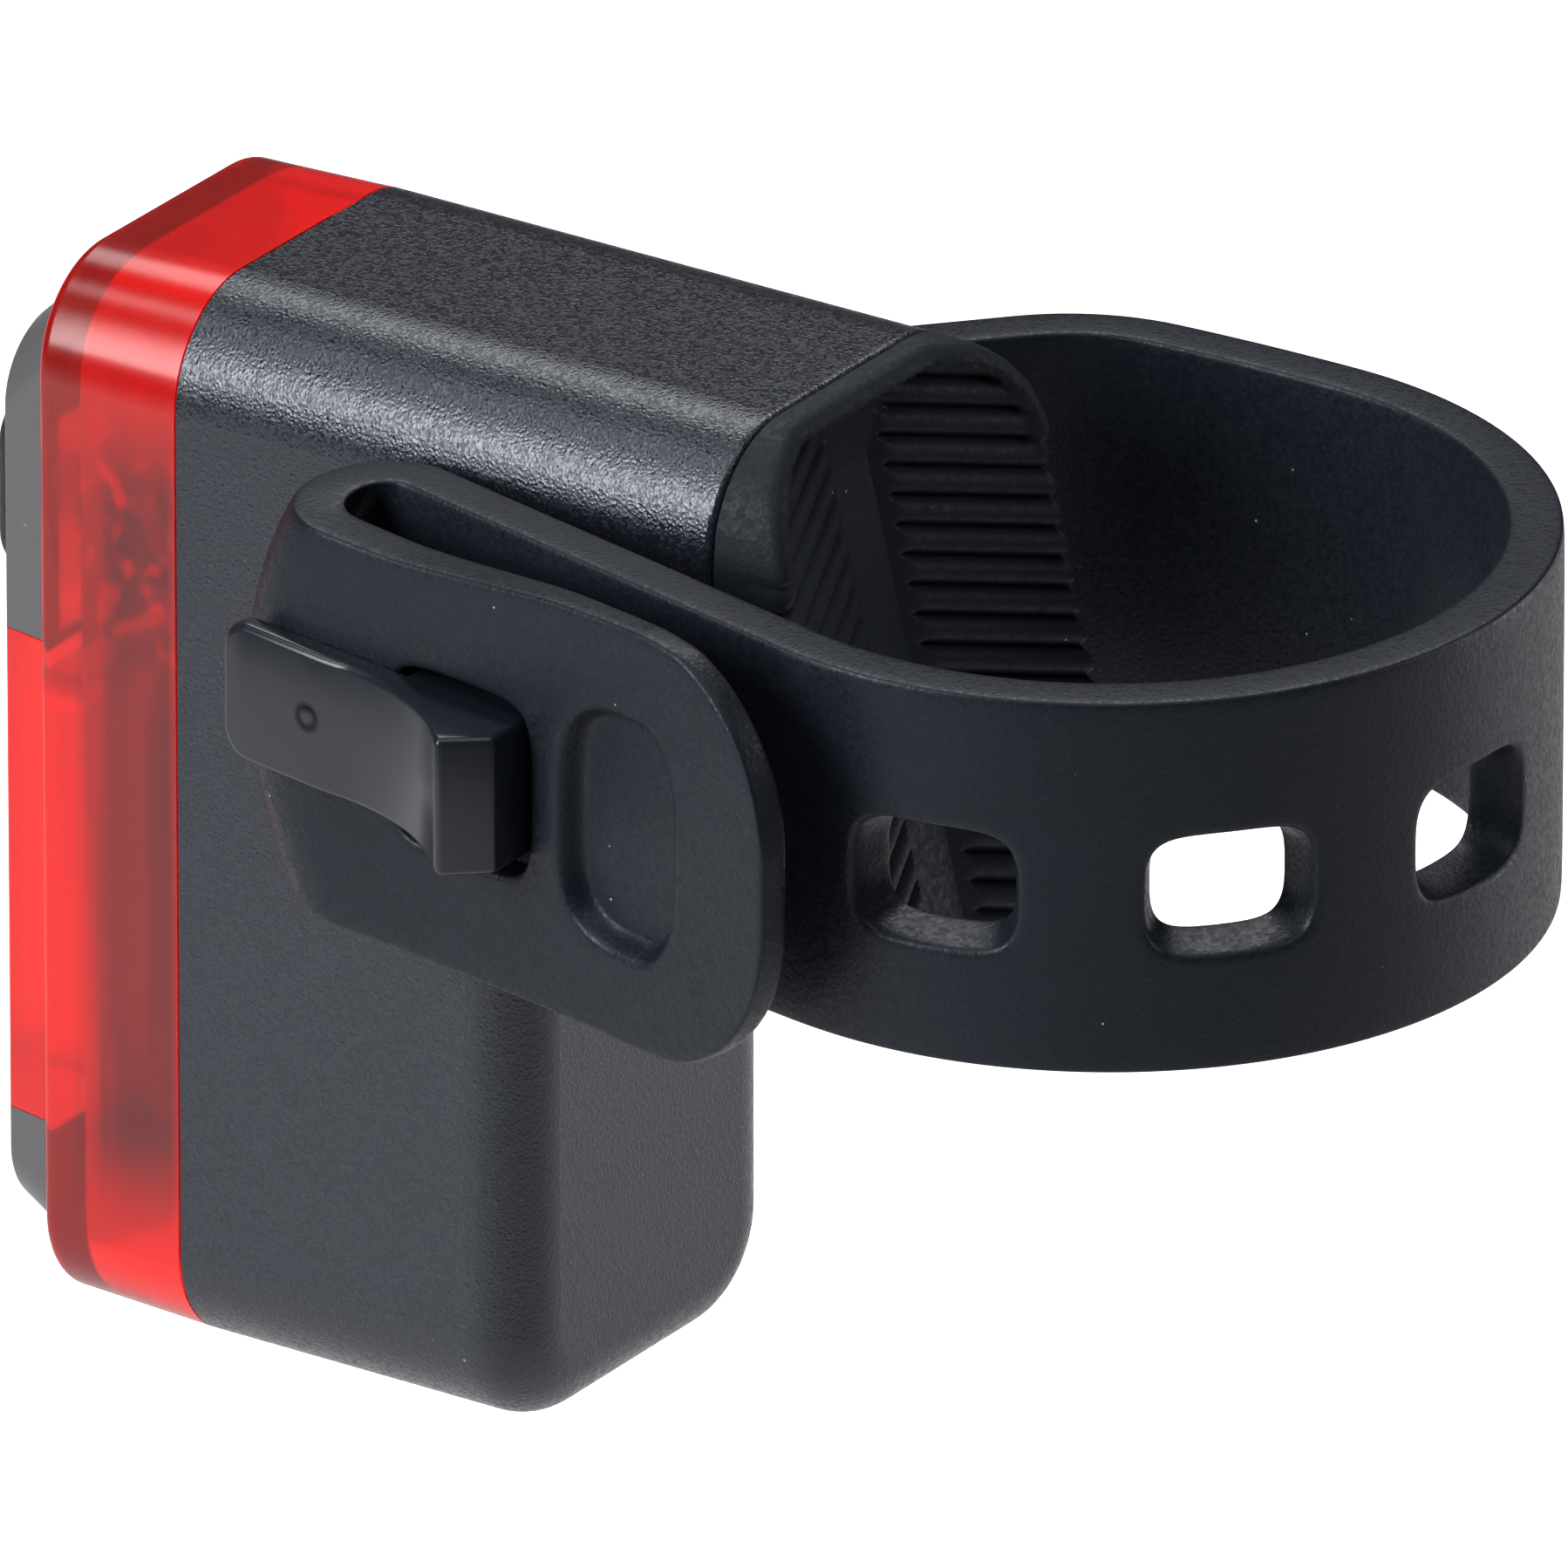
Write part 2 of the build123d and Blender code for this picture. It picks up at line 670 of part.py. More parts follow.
with BuildPart() as lens_shell:
    with BuildSketch(front(-seam_gap)):
        body_outline(0)
    extrude(amount=lens_depth - seam_gap, taper=lens_draft)
    fillet(lens_shell.faces().sort_by(Axis.Y)[0].edges(), lens_edge)
    add(lens_window.part)
    with BuildSketch(front(0)):
        body_outline(wall)
    extrude(amount=lens_depth - wall, taper=lens_draft, mode=Mode.SUBTRACT)
    with BuildSketch(front(0)):
        body_outline(wall - gasket_width)
    extrude(amount=gasket_height / 2, mode=Mode.SUBTRACT)
    # The hollow behind the raised window, and the bore of the button's stem
    with BuildSketch(front(lens_front + wall + overrun / 2, rise=(window_top + window_bottom) / 2)):
        RectangleRounded(
            panel_top_width - 2 * pocket_margin,
            window_top - window_bottom - 2 * pocket_margin,
            pocket_margin,
        )
    extrude(amount=panel_height + overrun / 2, mode=Mode.SUBTRACT)
    with BuildSketch(front(lens_front + wall + overrun, rise=button_rise)):
        Circle(stem_diameter / 2 + bore_gap)
    extrude(amount=wall + 2 * overrun, mode=Mode.SUBTRACT)

with BuildPart() as panel_trim_top:
    panel_slice(window_top, body_height)
    with BuildSketch(front(lens_front, rise=button_rise)):
        RectangleRounded(button_width + 2 * button_gap, button_height + 2 * button_gap, button_corner)
    extrude(amount=panel_height + overrun, mode=Mode.SUBTRACT)
    with BuildSketch(front(lens_front, rise=button_rise)):
        Rectangle(button_width + 2 * button_gap, button_height + 2 * (flange_lip + button_gap))
    extrude(amount=flange_lift + flange_thickness + fit_gap, mode=Mode.SUBTRACT)

with BuildPart() as panel_trim_bottom:
    panel_slice(-body_height, window_bottom)

with BuildPart() as power_button:
    with BuildSketch(front(lens_front - flange_lift, rise=button_rise)):
        RectangleRounded(button_width, button_height, button_corner)
    extrude(amount=panel_height + button_proud - flange_lift)
    fillet(power_button.faces().sort_by(Axis.Y)[0].edges(), button_edge)
    with BuildSketch(front(lens_front - flange_lift, rise=button_rise)):
        RectangleRounded(button_width, button_height + 2 * flange_lip, button_edge)
    extrude(amount=flange_thickness)
    with BuildSketch(rear(lens_front - flange_lift, rise=button_rise)):
        Circle(stem_diameter / 2)
    extrude(amount=plunger_front - fit_gap - lens_front + flange_lift)

with BuildPart() as tactile_switch:
    with BuildSketch(front(board_depth, rise=button_rise)):
        RectangleRounded(switch_size, switch_size, switch_corner)
    extrude(amount=switch_height)
    with BuildSketch(front(board_depth - switch_height + plunger_room, rise=button_rise)):
        Circle(plunger_diameter / 2 + slide_gap)
    extrude(amount=plunger_room + overrun, mode=Mode.SUBTRACT)

with BuildPart() as switch_plunger:
    with BuildSketch(front(board_depth - switch_height + plunger_seat, rise=button_rise)):
        Circle(plunger_diameter / 2)
    extrude(amount=plunger_seat + plunger_height)

with BuildPart() as lens_gasket:
    with BuildSketch(front(gasket_height / 2)):
        body_outline(wall - gasket_width)
        body_outline_inner(wall)
    extrude(amount=gasket_height)

with BuildPart() as circuit_board:
    with BuildSketch(rear(board_depth)):
        body_outline(wall + board_gap)
        for x, rise in board_posts:
            with Locations((-x, rise)):
                Circle(screw_diameter / 2 + fit_gap, mode=Mode.SUBTRACT)
    extrude(amount=board_thickness)

with BuildPart() as board_screws:
    for x, rise in board_posts:
        with BuildSketch(front(board_depth, x, rise)):
            Circle(screw_head_diameter / 2)
        extrude(amount=screw_head_height)
        with BuildSketch(rear(board_depth, x, rise)):
            Circle(screw_diameter / 2)
        extrude(amount=screw_length)
        with BuildSketch(front(board_depth - screw_head_height * (1 - screw_slot_share), x, rise)):
            Rectangle(screw_head_diameter, screw_slot_width)
            Rectangle(screw_slot_width, screw_head_diameter)
        extrude(amount=screw_head_height, mode=Mode.SUBTRACT)

with BuildPart() as main_leds:
    with BuildSketch(front(board_depth)):
        for rise in led_rises:
            with Locations((0, rise)):
                Rectangle(led_size, led_size)
    extrude(amount=led_height / 2)
    with BuildSketch(front(board_depth - led_height / 2)):
        for rise in led_rises:
            with Locations((0, rise)):
                Circle(led_size * led_dome_share / 2)
    extrude(amount=led_height / 2)

with BuildPart() as side_leds:
    with BuildSketch(front(board_depth)):
        for hand in (-1, 1):
            for rise in side_led_rises:
                with Locations((hand * side_led_offset, rise)):
                    Rectangle(side_led_width, side_led_length)
    extrude(amount=side_led_height)

with BuildPart() as reflector:
    with BuildSketch(front(board_depth, rise=led_rise)):
        RectangleRounded(reflector_width, reflector_height, 2 * reflector_wall)
    extrude(amount=reflector_depth)
    with BuildSketch(front(board_depth - reflector_wall, rise=led_rise)):
        RectangleRounded(reflector_inner_width, reflector_inner_height, reflector_wall)
    extrude(amount=reflector_depth, mode=Mode.SUBTRACT)
    with BuildSketch(front(board_depth - reflector_depth + guide_seat, rise=led_rise)):
        RectangleRounded(guide_width, guide_height, reflector_wall)
    extrude(amount=reflector_depth, mode=Mode.SUBTRACT)
    with BuildSketch(front(board_depth + overrun)):
        for rise in led_rises:
            with Locations((0, rise)):
                Rectangle(led_size + 2 * fit_gap, led_size + 2 * fit_gap)
    extrude(amount=reflector_wall + 2 * overrun, mode=Mode.SUBTRACT)

with BuildPart() as light_guide:
    with BuildSketch(front(board_depth - reflector_depth + guide_seat, rise=led_rise)):
        RectangleRounded(guide_width - 2 * fit_gap, guide_height - 2 * fit_gap, reflector_wall)
    extrude(amount=guide_thickness)
    fillet(light_guide.faces().sort_by(Axis.Y)[0].edges(), guide_dome)

with BuildPart() as battery_cradle:
    with BuildSketch(front(lower_depth - wall, rise=cell_rise)):
        Rectangle(cradle_width, cradle_height)
    extrude(amount=cradle_wall + free_gap + shelf_reach)
    with BuildSketch(front(cell_back + free_gap, rise=cell_rise)):
        Rectangle(cell_width + 2 * free_gap, cell_height + 2 * free_gap)
    extrude(amount=cell_thickness, mode=Mode.SUBTRACT)

with BuildPart() as battery_cell:
    with BuildSketch(front(cell_back, rise=cell_rise)):
        Rectangle(cell_width, cell_height)
    extrude(amount=cell_thickness)
    fillet(battery_cell.edges().filter_by(Axis.Z), cell_edge)
    fillet(battery_cell.faces().sort_by(Axis.Z)[-1].edges(), cell_rim)
    fillet(battery_cell.faces().sort_by(Axis.Z)[0].edges(), cell_rim)

with BuildPart() as battery_tabs:
    for hand in (-1, 1):
        for depth, low in ((cell_front, -tab_foot), (board_back + tab_thickness, 0)):
            with BuildSketch(front(depth, hand * tab_offset, tab_rise + low / 2 + tab_foot / 2)):
                Rectangle(tab_width, tab_foot)
            extrude(amount=tab_thickness)
        with BuildSketch(front(cell_front, hand * tab_offset, tab_rise)):
            Rectangle(tab_width, tab_thickness)
        extrude(amount=cell_front - board_back)

with BuildPart() as usb_socket:
    with BuildSketch(Plane.XY.offset(socket_bottom)):
        with Locations((0, seam_y + port_middle)):
            RectangleRounded(socket_width, socket_thickness, socket_round)
    extrude(amount=socket_length)
    with BuildSketch(Plane.XY.offset(socket_bottom)):
        with Locations((0, seam_y + port_middle)):
            RectangleRounded(
                socket_width - 2 * socket_wall,
                socket_thickness - 2 * socket_wall,
                socket_round - socket_wall,
            )
    extrude(amount=socket_length - socket_wall, mode=Mode.SUBTRACT)

with BuildPart() as usb_tongue:
    with BuildSketch(Plane.XY.offset(socket_bottom + socket_length - socket_wall)):
        with Locations((0, seam_y + port_middle)):
            RectangleRounded(
                socket_width - 2 * (socket_wall + fit_gap),
                socket_thickness - 2 * (socket_wall + fit_gap),
                socket_round - socket_wall - fit_gap,
            )
    extrude(amount=-tongue_base)
    with BuildSketch(Plane.XY.offset(socket_bottom + socket_length - socket_wall)):
        with Locations((0, seam_y + port_middle)):
            Rectangle((socket_width - 2 * socket_wall) * tongue_width_share, tongue_thickness)
    extrude(amount=-(socket_length - socket_wall) * tongue_share)

pieces = {
    "housing_shell": housing_shell,
    "port_cover": port_cover,
    "seatpost_pad": seatpost_pad,
    "strap": strap,
    "strap_hook": strap_hook,
    "strap_stud": strap_stud,
    "anchor_screws": anchor_screws,
    "lens_shell": lens_shell,
    "panel_trim_top": panel_trim_top,
    "panel_trim_bottom": panel_trim_bottom,
    "power_button": power_button,
    "tactile_switch": tactile_switch,
    "switch_plunger": switch_plunger,
    "lens_gasket": lens_gasket,
    "circuit_board": circuit_board,
    "board_screws": board_screws,
    "main_leds": main_leds,
    "side_leds": side_leds,
    "reflector": reflector,
    "light_guide": light_guide,
    "battery_cradle": battery_cradle,
    "battery_cell": battery_cell,
    "battery_tabs": battery_tabs,
    "usb_socket": usb_socket,
    "usb_tongue": usb_tongue,
}
for name, piece in pieces.items():
    piece.part.label = name
    export_step(piece.part, f"parts/{name}.step")
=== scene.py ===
import json
from math import acos, atan2, cos, hypot, pi, radians, sin, tan

import bpy
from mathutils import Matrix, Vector

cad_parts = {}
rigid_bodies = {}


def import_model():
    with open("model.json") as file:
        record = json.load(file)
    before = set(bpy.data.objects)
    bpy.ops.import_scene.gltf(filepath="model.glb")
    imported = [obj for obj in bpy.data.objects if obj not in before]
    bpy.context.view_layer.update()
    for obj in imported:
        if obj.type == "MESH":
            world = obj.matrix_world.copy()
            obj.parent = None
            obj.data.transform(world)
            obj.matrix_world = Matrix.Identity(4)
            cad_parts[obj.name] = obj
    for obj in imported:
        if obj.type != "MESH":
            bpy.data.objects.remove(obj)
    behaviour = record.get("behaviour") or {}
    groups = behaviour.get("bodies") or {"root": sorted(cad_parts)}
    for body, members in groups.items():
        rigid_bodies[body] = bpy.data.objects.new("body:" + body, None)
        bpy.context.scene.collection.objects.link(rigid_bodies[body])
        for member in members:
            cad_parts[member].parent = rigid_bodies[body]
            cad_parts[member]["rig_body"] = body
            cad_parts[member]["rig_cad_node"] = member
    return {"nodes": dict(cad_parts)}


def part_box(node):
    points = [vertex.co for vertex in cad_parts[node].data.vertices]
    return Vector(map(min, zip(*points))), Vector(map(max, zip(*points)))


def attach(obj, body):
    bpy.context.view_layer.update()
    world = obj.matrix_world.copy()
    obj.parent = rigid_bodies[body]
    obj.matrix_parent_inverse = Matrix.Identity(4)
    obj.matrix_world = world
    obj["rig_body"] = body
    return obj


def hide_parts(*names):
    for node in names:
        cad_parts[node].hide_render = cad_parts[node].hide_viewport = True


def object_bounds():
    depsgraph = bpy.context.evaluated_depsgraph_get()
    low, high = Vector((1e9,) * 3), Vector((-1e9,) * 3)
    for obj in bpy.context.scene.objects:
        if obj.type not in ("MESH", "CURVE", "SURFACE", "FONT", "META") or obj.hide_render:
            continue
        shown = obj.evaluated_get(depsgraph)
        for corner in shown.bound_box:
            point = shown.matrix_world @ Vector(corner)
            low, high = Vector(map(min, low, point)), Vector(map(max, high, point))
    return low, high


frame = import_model()
cad_low, cad_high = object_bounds()

# All lengths are in metres. Depths are measured behind the seam between lens and housing,
# which lies this far in front of the housing's front edge
SEAM_GAP = 0.00005

# The strap's band: its reach above and below the hook's level, and its thickness
STRAP_WIDTH = 0.0176
STRAP_THICKNESS = 0.0025
STRAP_TOP = 0.0093
LOOP_BOTTOM = 0.0083
TAIL_HALF_START = 0.0096
TAIL_HALF_END = 0.0101
TAIL_THICKNESS = 0.0015
TAIL_THINNING = 1.6
STRAP_EDGE = 0.0006
STRAP_EDGE_SEGMENTS = 2
STRAP_EDGE_ANGLE = radians(50)
STRAP_ROUNDING = 2
STRAP_GAP = 0.00025
ROOT_END_SHARE = 0.2
COLUMN_STEP = 0.0024

# The strap's route: from the stud round the root's bend, the shoulder, the loop and the fold
STUD_DEPTH = 0.0153
ROOT_BEND_DEPTH = 0.022
ROOT_BEND_RADIUS = 0.005
SHOULDER_DEPTH = 0.029
SHOULDER_INSET = 0.0011
SHOULDER_RADIUS = 0.009
LOOP_RADIUS = 0.0174
LOOP_OFFSET = 0.0017
LOOP_DEPTH = 0.04146
FOLD_RADIUS = 0.00275
FOLD_LEAD = 0.0045
FOLD_BULGE = 0.0024
FOLD_DIP = 0.0007
FOLD_DIP_PLACE = 0.004
FOLD_DIP_REACH = 0.012
TAIL_LEAN = radians(7.0)
TAIL_RADIUS = 0.165
TAIL_LENGTH = 0.0274
TAIL_CORNER = 0.0078
STRAIGHT_TURN = 1e-9

# The strap's openings, the lip of faces round each, and the tail's finger recess
HOLE_LENGTH = 0.0073
HOLE_HEIGHT = 0.0057
HOLE_CORNER = 0.0014
HOLE_FLARE = 0.0005
HOLE_ANGLES = (11.0, 49.5, 87.5)
SPARE_HOLE_DEPTH = 0.0325
HOOK_MIDDLE = 0.02185
HOOK_HOLE_LENGTH = 0.0082
HOOK_HOLE_HEIGHT = 0.0084
STUD_HOLE = 0.0056
STUD_HOLE_CORNER = STUD_HOLE / 3
GRIP_LENGTH = 0.0073
GRIP_HEIGHT = 0.0113
GRIP_CORNER = 0.0025
GRIP_RECESS = 0.0011
GRIP_INSET = 0.006
GRIP_WALL = 0.0005
LIP = 0.0008
CORNER_DRAW = 0.3
BESIDE_REACH = LIP / 8
ABOVE_REACH = LIP / 3
FLARE_REACH = LIP / 4
OUTWARD_LEAST = 0.7
PLACE_DIGITS = 6

# The hook, its profile as reaches out of the side wall and depths behind the seam
HOOK_HEIGHT = 0.00655
HOOK_LIFT = 0.00027
HOOK_TILT = 0.04
HOOK_FRONT = 0.0185
HOOK_BACK = 0.0253
HOOK_BACK_REACH = 0.0121
HOOK_RIDGE = (0.0139, 0.0233)
HOOK_RAMP_FOOT = (0.01, 0.0146)
HOOK_RAMP_SAG = 0.0011
HOOK_RAMP_STEPS = 12
HOOK_TIP = (0.00925, 0.00885)
HOOK_TIP_UNDER = 0.0081
HOOK_THROAT = 0.009
HOOK_EDGE = 0.00035
HOOK_EDGE_SEGMENTS = 3
HOOK_EDGE_ANGLE = radians(28)
HOOK_SMOOTH_ANGLE = radians(30)
HOOK_CORNER = 0.0014
HOOK_CORNER_SEGMENTS = 6
SPIGOT_RADIUS = 0.002
SPIGOT_SIDES = 32
WALL = 0.0018
SAME_PLACE = 0.00005

# The moulding mark on the hook: its depth and level, ring and look
MARK_PLACE = (0.0138, 0.0008)
MARK_RADIUS = 0.0005
MARK_WIDTH = 0.0003
MARK_DEPTH = 0.00003
MARK_COLOUR = (0.003, 0.003, 0.004)
MARK_GLOSS = 0.15
PLAIN_GLOSS = 0.5

# The rubber cradle: a V of two wings, with a channel, ribs and a raised rim
FIT_GAP = 0.0001
BLOCK_CORNER = 0.0052
PAD_TILT = radians(13.8)
NEAR_SLOPE = 0.30
FAR_SLOPE = 0.38
RIM_HEIGHT = 0.0015
FLOOR_HEIGHT = 0.0003
CHANNEL_HALF = 0.0022
CHANNEL_WALL = 0.0009
CHANNEL_DEPTH = 0.0007
RIB_PITCH = 0.00134
RIB_DROP = radians(15.5)
RIB_START = -0.0002
RIB_PHASES = (0.0, 0.08, 0.16, 0.22, 0.34, 0.5, 0.66, 0.78, 0.84, 0.92)
RIBS_ABOVE = 2
NOTCH_DEPTH = 0.0004
NOTCH_SHARE = 0.26
LAND_ROUND = 0.0002
RIM_WIDTH = 0.00115
RIM_PROUD = 0.0003
RIM_FADE = 0.0003
PAD_EDGE = 0.0009
PAD_EDGE_STEPS = 5
PAD_STEP = 0.00022
PAD_MERGE = 0.000004
PAD_SMOOTH_ANGLE = radians(32)

# Copies of CAD nodes with softened edges
COPY_MERGE = 0.000002
COPY_FLAT_ANGLE = radians(0.5)
COPY_EDGE_SEGMENTS = 2
COPY_EDGE_ANGLE = radians(30)
COPY_SMOOTH_ANGLE = radians(35)
BUTTON_EDGE = 0.00015
COVER_EDGE = 0.00012
SEAL_EDGE = 0.00008

# Moulded grain: cells per metre, bump depths with strengths, and the spread of roughness
HOUSING_GRAIN, HOUSING_BUMP, HOUSING_SPREAD = 6000.0, (0.000024, 0.8), 0.17
RUBBER_GRAIN, RUBBER_BUMP, RUBBER_SPREAD = 4600.0, (0.00002, 0.6), 0.1
PLASTIC_GRAIN, PLASTIC_BUMP, PLASTIC_SPREAD = 600.0, (0.00005, 0.1), 0.05
METAL_GRAIN, METAL_BUMP, METAL_SPREAD = 2500.0, (0.00002, 0.2), 0.08
NOISE_DETAIL = 3.0
NOISE_ROUGHNESS = 0.6
MOTTLE_SCALE = 350.0
# Painted glints: where the fine grain rises above a level, the colour is lifted towards a painted
# highlight by a gain and a lift
PAINTED_GLINT_LEVEL = 0.62
PAINTED_GLINT_GAIN = 9.0
PAINTED_GLINT_LIFT = 4.0
HOUSING_GLOSS = 0.7
RUBBER_GLOSS = 0.3
COOL_SHEEN = (0.87, 0.915, 1.0, 1.0)

# Settled dust: cells per metre, speck size, the shares of cells that hold a speck, and colours
DUST_SCALE = 1500.0
DUST_SIZE = 0.1
HOUSING_DUST_SHARE = 0.012
PLASTIC_DUST_SHARE = 0.015
HOUSING_DUST = (0.35, 0.35, 0.36)
RUBBER_DUST = (0.4, 0.41, 0.42)
PLASTIC_DUST = (0.3, 0.3, 0.3)

# The lens: bright red at its edges and ends, with a band of painted shade behind, columns, a
# painted rim highlight and small painted glints
LENS_CLEAR = 0.7
LENS_INDEX = 1.49
LENS_ROUGHNESS = (0.17, 0.23)
LENS_LIT_REDS = ((0.98, 0.022, 0.016), (0.78, 0.01, 0.008))
LENS_PAINTED_SHADE_REDS = ((0.44, 0.026, 0.03), (0.12, 0.016, 0.02))
# The rim colour is a painted highlight along the seam, over a depth given below
LENS_PAINTED_RIM_LIGHT = (0.98, 0.02, 0.015)
LENS_SHADOW = (1.0, 0.12, 0.1, 1.0)
LENS_BRIGHT_DEPTH = 0.0066
LENS_DARK_DEPTH = 0.0034
LENS_RIM_LIGHT_DEPTH = 0.0005
LENS_BRIGHT_END = 0.0205
LENS_END_FADE = 0.006
LENS_BLOTCH_SCALE = 120.0
LENS_COLUMN_SCALE = 700.0
LENS_COLUMN_STRETCH = 0.04
LENS_COLUMN_DRIFT = 0.004
# Painted glints in the lens: their foot above the middle, the noise, its level and gain
LENS_PAINTED_SPARK_FOOT = 0.006
LENS_PAINTED_SPARK_SCALE = 650.0
LENS_PAINTED_SPARK_DETAIL = 1.0
LENS_PAINTED_SPARK_ROUGHNESS = 0.4
LENS_PAINTED_SPARK_LEVEL = 0.56
LENS_PAINTED_SPARK_GAIN = 9.0

# The reflector: painted light in front, falling off to painted shade towards its root
REFLECTOR_FRONT = 0.0035
REFLECTOR_ROOT = 0.0008
REFLECTOR_PAINTED_LIGHT = (0.62, 0.6, 0.58)
REFLECTOR_PAINTED_SHADE = (0.05, 0.035, 0.035)
REFLECTOR_ROUGHNESS = (0.2, 0.4)
REFLECTOR_BLOTCH_SCALE = 260.0
REFLECTOR_UNEVEN = 0.9

# Finishes: dark and light colour of the mottle, roughness, and for rubbers the share of dust
GRAINED_PLASTICS = {
    "housing_plastic": ((0.0095, 0.011, 0.0175), (0.0135, 0.0155, 0.025), 0.25),
}
RUBBERS = {
    "strap_silicone": ((0.0065, 0.0085, 0.014), (0.011, 0.0145, 0.022), 0.42, 0.04),
    "pad_rubber": ((0.008, 0.0105, 0.015), (0.013, 0.017, 0.023), 0.62, 0.02),
    "button_rubber": ((0.02, 0.02, 0.022), (0.03, 0.03, 0.033), 0.45, 0.01),
}
SMOOTH_PLASTICS = {
    "trim_plastic": ((0.1, 0.1, 0.106), (0.115, 0.114, 0.12), 0.28),
    "hook_plastic": ((0.008, 0.0105, 0.0165), (0.0125, 0.016, 0.025), 0.22),
    "inner_plastic": ((0.03, 0.03, 0.03), (0.05, 0.05, 0.05), 0.5),
    "board_mask": ((0.008, 0.05, 0.025), (0.015, 0.08, 0.04), 0.35),
    "emitter_yellow": ((0.9, 0.82, 0.55), (0.95, 0.9, 0.7), 0.2),
    "guide_frost": ((0.7, 0.7, 0.7), (0.82, 0.82, 0.82), 0.3),
}
METALS = {
    "cell_foil": ((0.5, 0.52, 0.55), (0.6, 0.62, 0.66), 0.35),
    "nickel": ((0.5, 0.48, 0.44), (0.62, 0.6, 0.55), 0.3),
    "steel": ((0.45, 0.45, 0.46), (0.58, 0.58, 0.6), 0.28),
}

# Which finish each CAD node wears
CAD_FINISHES = {
    "housing_shell": "housing_plastic",
    "lens_shell": "red_lens",
    "panel_trim_top": "trim_plastic",
    "panel_trim_bottom": "trim_plastic",
    "power_button": "button_rubber",
    "strap_hook": "hook_plastic",
    "strap_stud": "hook_plastic",
    "anchor_screws": "steel",
    "port_cover": "pad_rubber",
    "lens_gasket": "pad_rubber",
    "circuit_board": "board_mask",
    "board_screws": "steel",
    "main_leds": "emitter_yellow",
    "side_leds": "emitter_yellow",
    "reflector": "pale_reflector",
    "light_guide": "guide_frost",
    "tactile_switch": "inner_plastic",
    "switch_plunger": "inner_plastic",
    "battery_cradle": "inner_plastic",
    "battery_cell": "cell_foil",
    "battery_tabs": "nickel",
    "usb_socket": "nickel",
    "usb_tongue": "inner_plastic",
    "seatpost_pad": "pad_rubber",
    "strap": "strap_silicone",
}

# Camera at the photograph's viewing angle, from far away with a long lens
CAMERA_AZIMUTH = 124.0
CAMERA_ELEVATION = 24.2
CAMERA_LENS = 1000.0
CAMERA_RANGE = (0.01, 10.0)
SENSOR = 36.0
PHOTO_PIXELS = 1798
PIXELS_PER_METRE = 26000.0
VIEW_CENTRE = Vector((-0.00871, -0.01232, -0.0117))

# The stage: a floor below the object, and how brightly it and the world show
FLOOR_DROP = 0.12
FLOOR_RADIUS = 3.0
FLOOR_SIDES = 96
FLOOR_COLOUR = (0.86, 0.86, 0.86, 1.0)
FLOOR_ROUGHNESS = 0.9
FLOOR_GLOW = 0.97
WORLD_LEVEL = 0.08
WHITE = (1.0, 1.0, 1.0, 1.0)

# Each lamp: name, azimuth, elevation, distance, width and height, power
LAMPS = [
    ("edge_softbox", 61, 25, 0.6, (0.23, 0.34), 2.9),
    ("rim_strip", 39, 56, 0.6, (0.3, 0.14), 0.5),
    ("top_softbox", 124, 75, 0.7, (0.5, 0.5), 1.0),
    ("back_softbox", 304, 52, 0.8, (0.6, 0.3), 2.4),
    ("right_softbox", 215, 20, 0.8, (0.3, 0.4), 1.2),
    ("rear_low", 236, -8, 0.5, (0.25, 0.08), 0.28),
]

# The body's place, read from the frame
housing_low, housing_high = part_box("housing_shell")
pad_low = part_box("seatpost_pad")[0]
seam_y = housing_low.y - SEAM_GAP
mid_z = (housing_low.z + housing_high.z) / 2
half_width = housing_high.x
band_half = STRAP_THICKNESS / 2
mid_radius = LOOP_RADIUS + band_half
block_top = housing_high.z
block_bottom = pad_low.z
pad_front = housing_high.y + FIT_GAP
rib_top = block_top + RIB_START


def new_group(name, inputs, outputs):
    """A shader node group with a vector and float inputs, and named float outputs."""
    group = bpy.data.node_groups.new(name, "ShaderNodeTree")
    group.interface.new_socket("Vector", in_out="INPUT", socket_type="NodeSocketVector")
    for label, value in inputs:
        socket = group.interface.new_socket(label, in_out="INPUT", socket_type="NodeSocketFloat")
        socket.default_value = value
    for label in outputs:
        group.interface.new_socket(label, in_out="OUTPUT", socket_type="NodeSocketFloat")
    entry = group.nodes.new("NodeGroupInput")
    leave = group.nodes.new("NodeGroupOutput")
    return group, entry, leave


def math_node(tree, operation, first, second=None, clamp=False):
    """A Math node fed by sockets or numbers; returns its output."""
    node = tree.nodes.new("ShaderNodeMath")
    node.operation = operation
    node.use_clamp = clamp
    for socket, value in zip(node.inputs, (first, second)):
        if value is None:
            continue
        if isinstance(value, (int, float)):
            socket.default_value = value
        else:
            tree.links.new(value, socket)
    return node.outputs[0]


def noise_node(tree, vector, scale, detail=2.0, roughness=0.5):
    """A Noise Texture fed by a vector socket and a scale; returns its Fac output."""
    node = tree.nodes.new("ShaderNodeTexNoise")
    node.inputs["Detail"].default_value = detail
    node.inputs["Roughness"].default_value = roughness
    tree.links.new(vector, node.inputs["Vector"])
    if isinstance(scale, (int, float)):
        node.inputs["Scale"].default_value = scale
    else:
        tree.links.new(scale, node.inputs["Scale"])
    return node.outputs["Fac"]


def random_cells(group, entry):
    """A Voronoi texture in a group: its distance, and the random values of each cell."""
    cells = group.nodes.new("ShaderNodeTexVoronoi")
    group.links.new(entry.outputs["Vector"], cells.inputs["Vector"])
    group.links.new(entry.outputs["Scale"], cells.inputs["Scale"])
    split = group.nodes.new("ShaderNodeSeparateColor")
    group.links.new(cells.outputs["Color"], split.inputs["Color"])
    return cells.outputs["Distance"], split.outputs


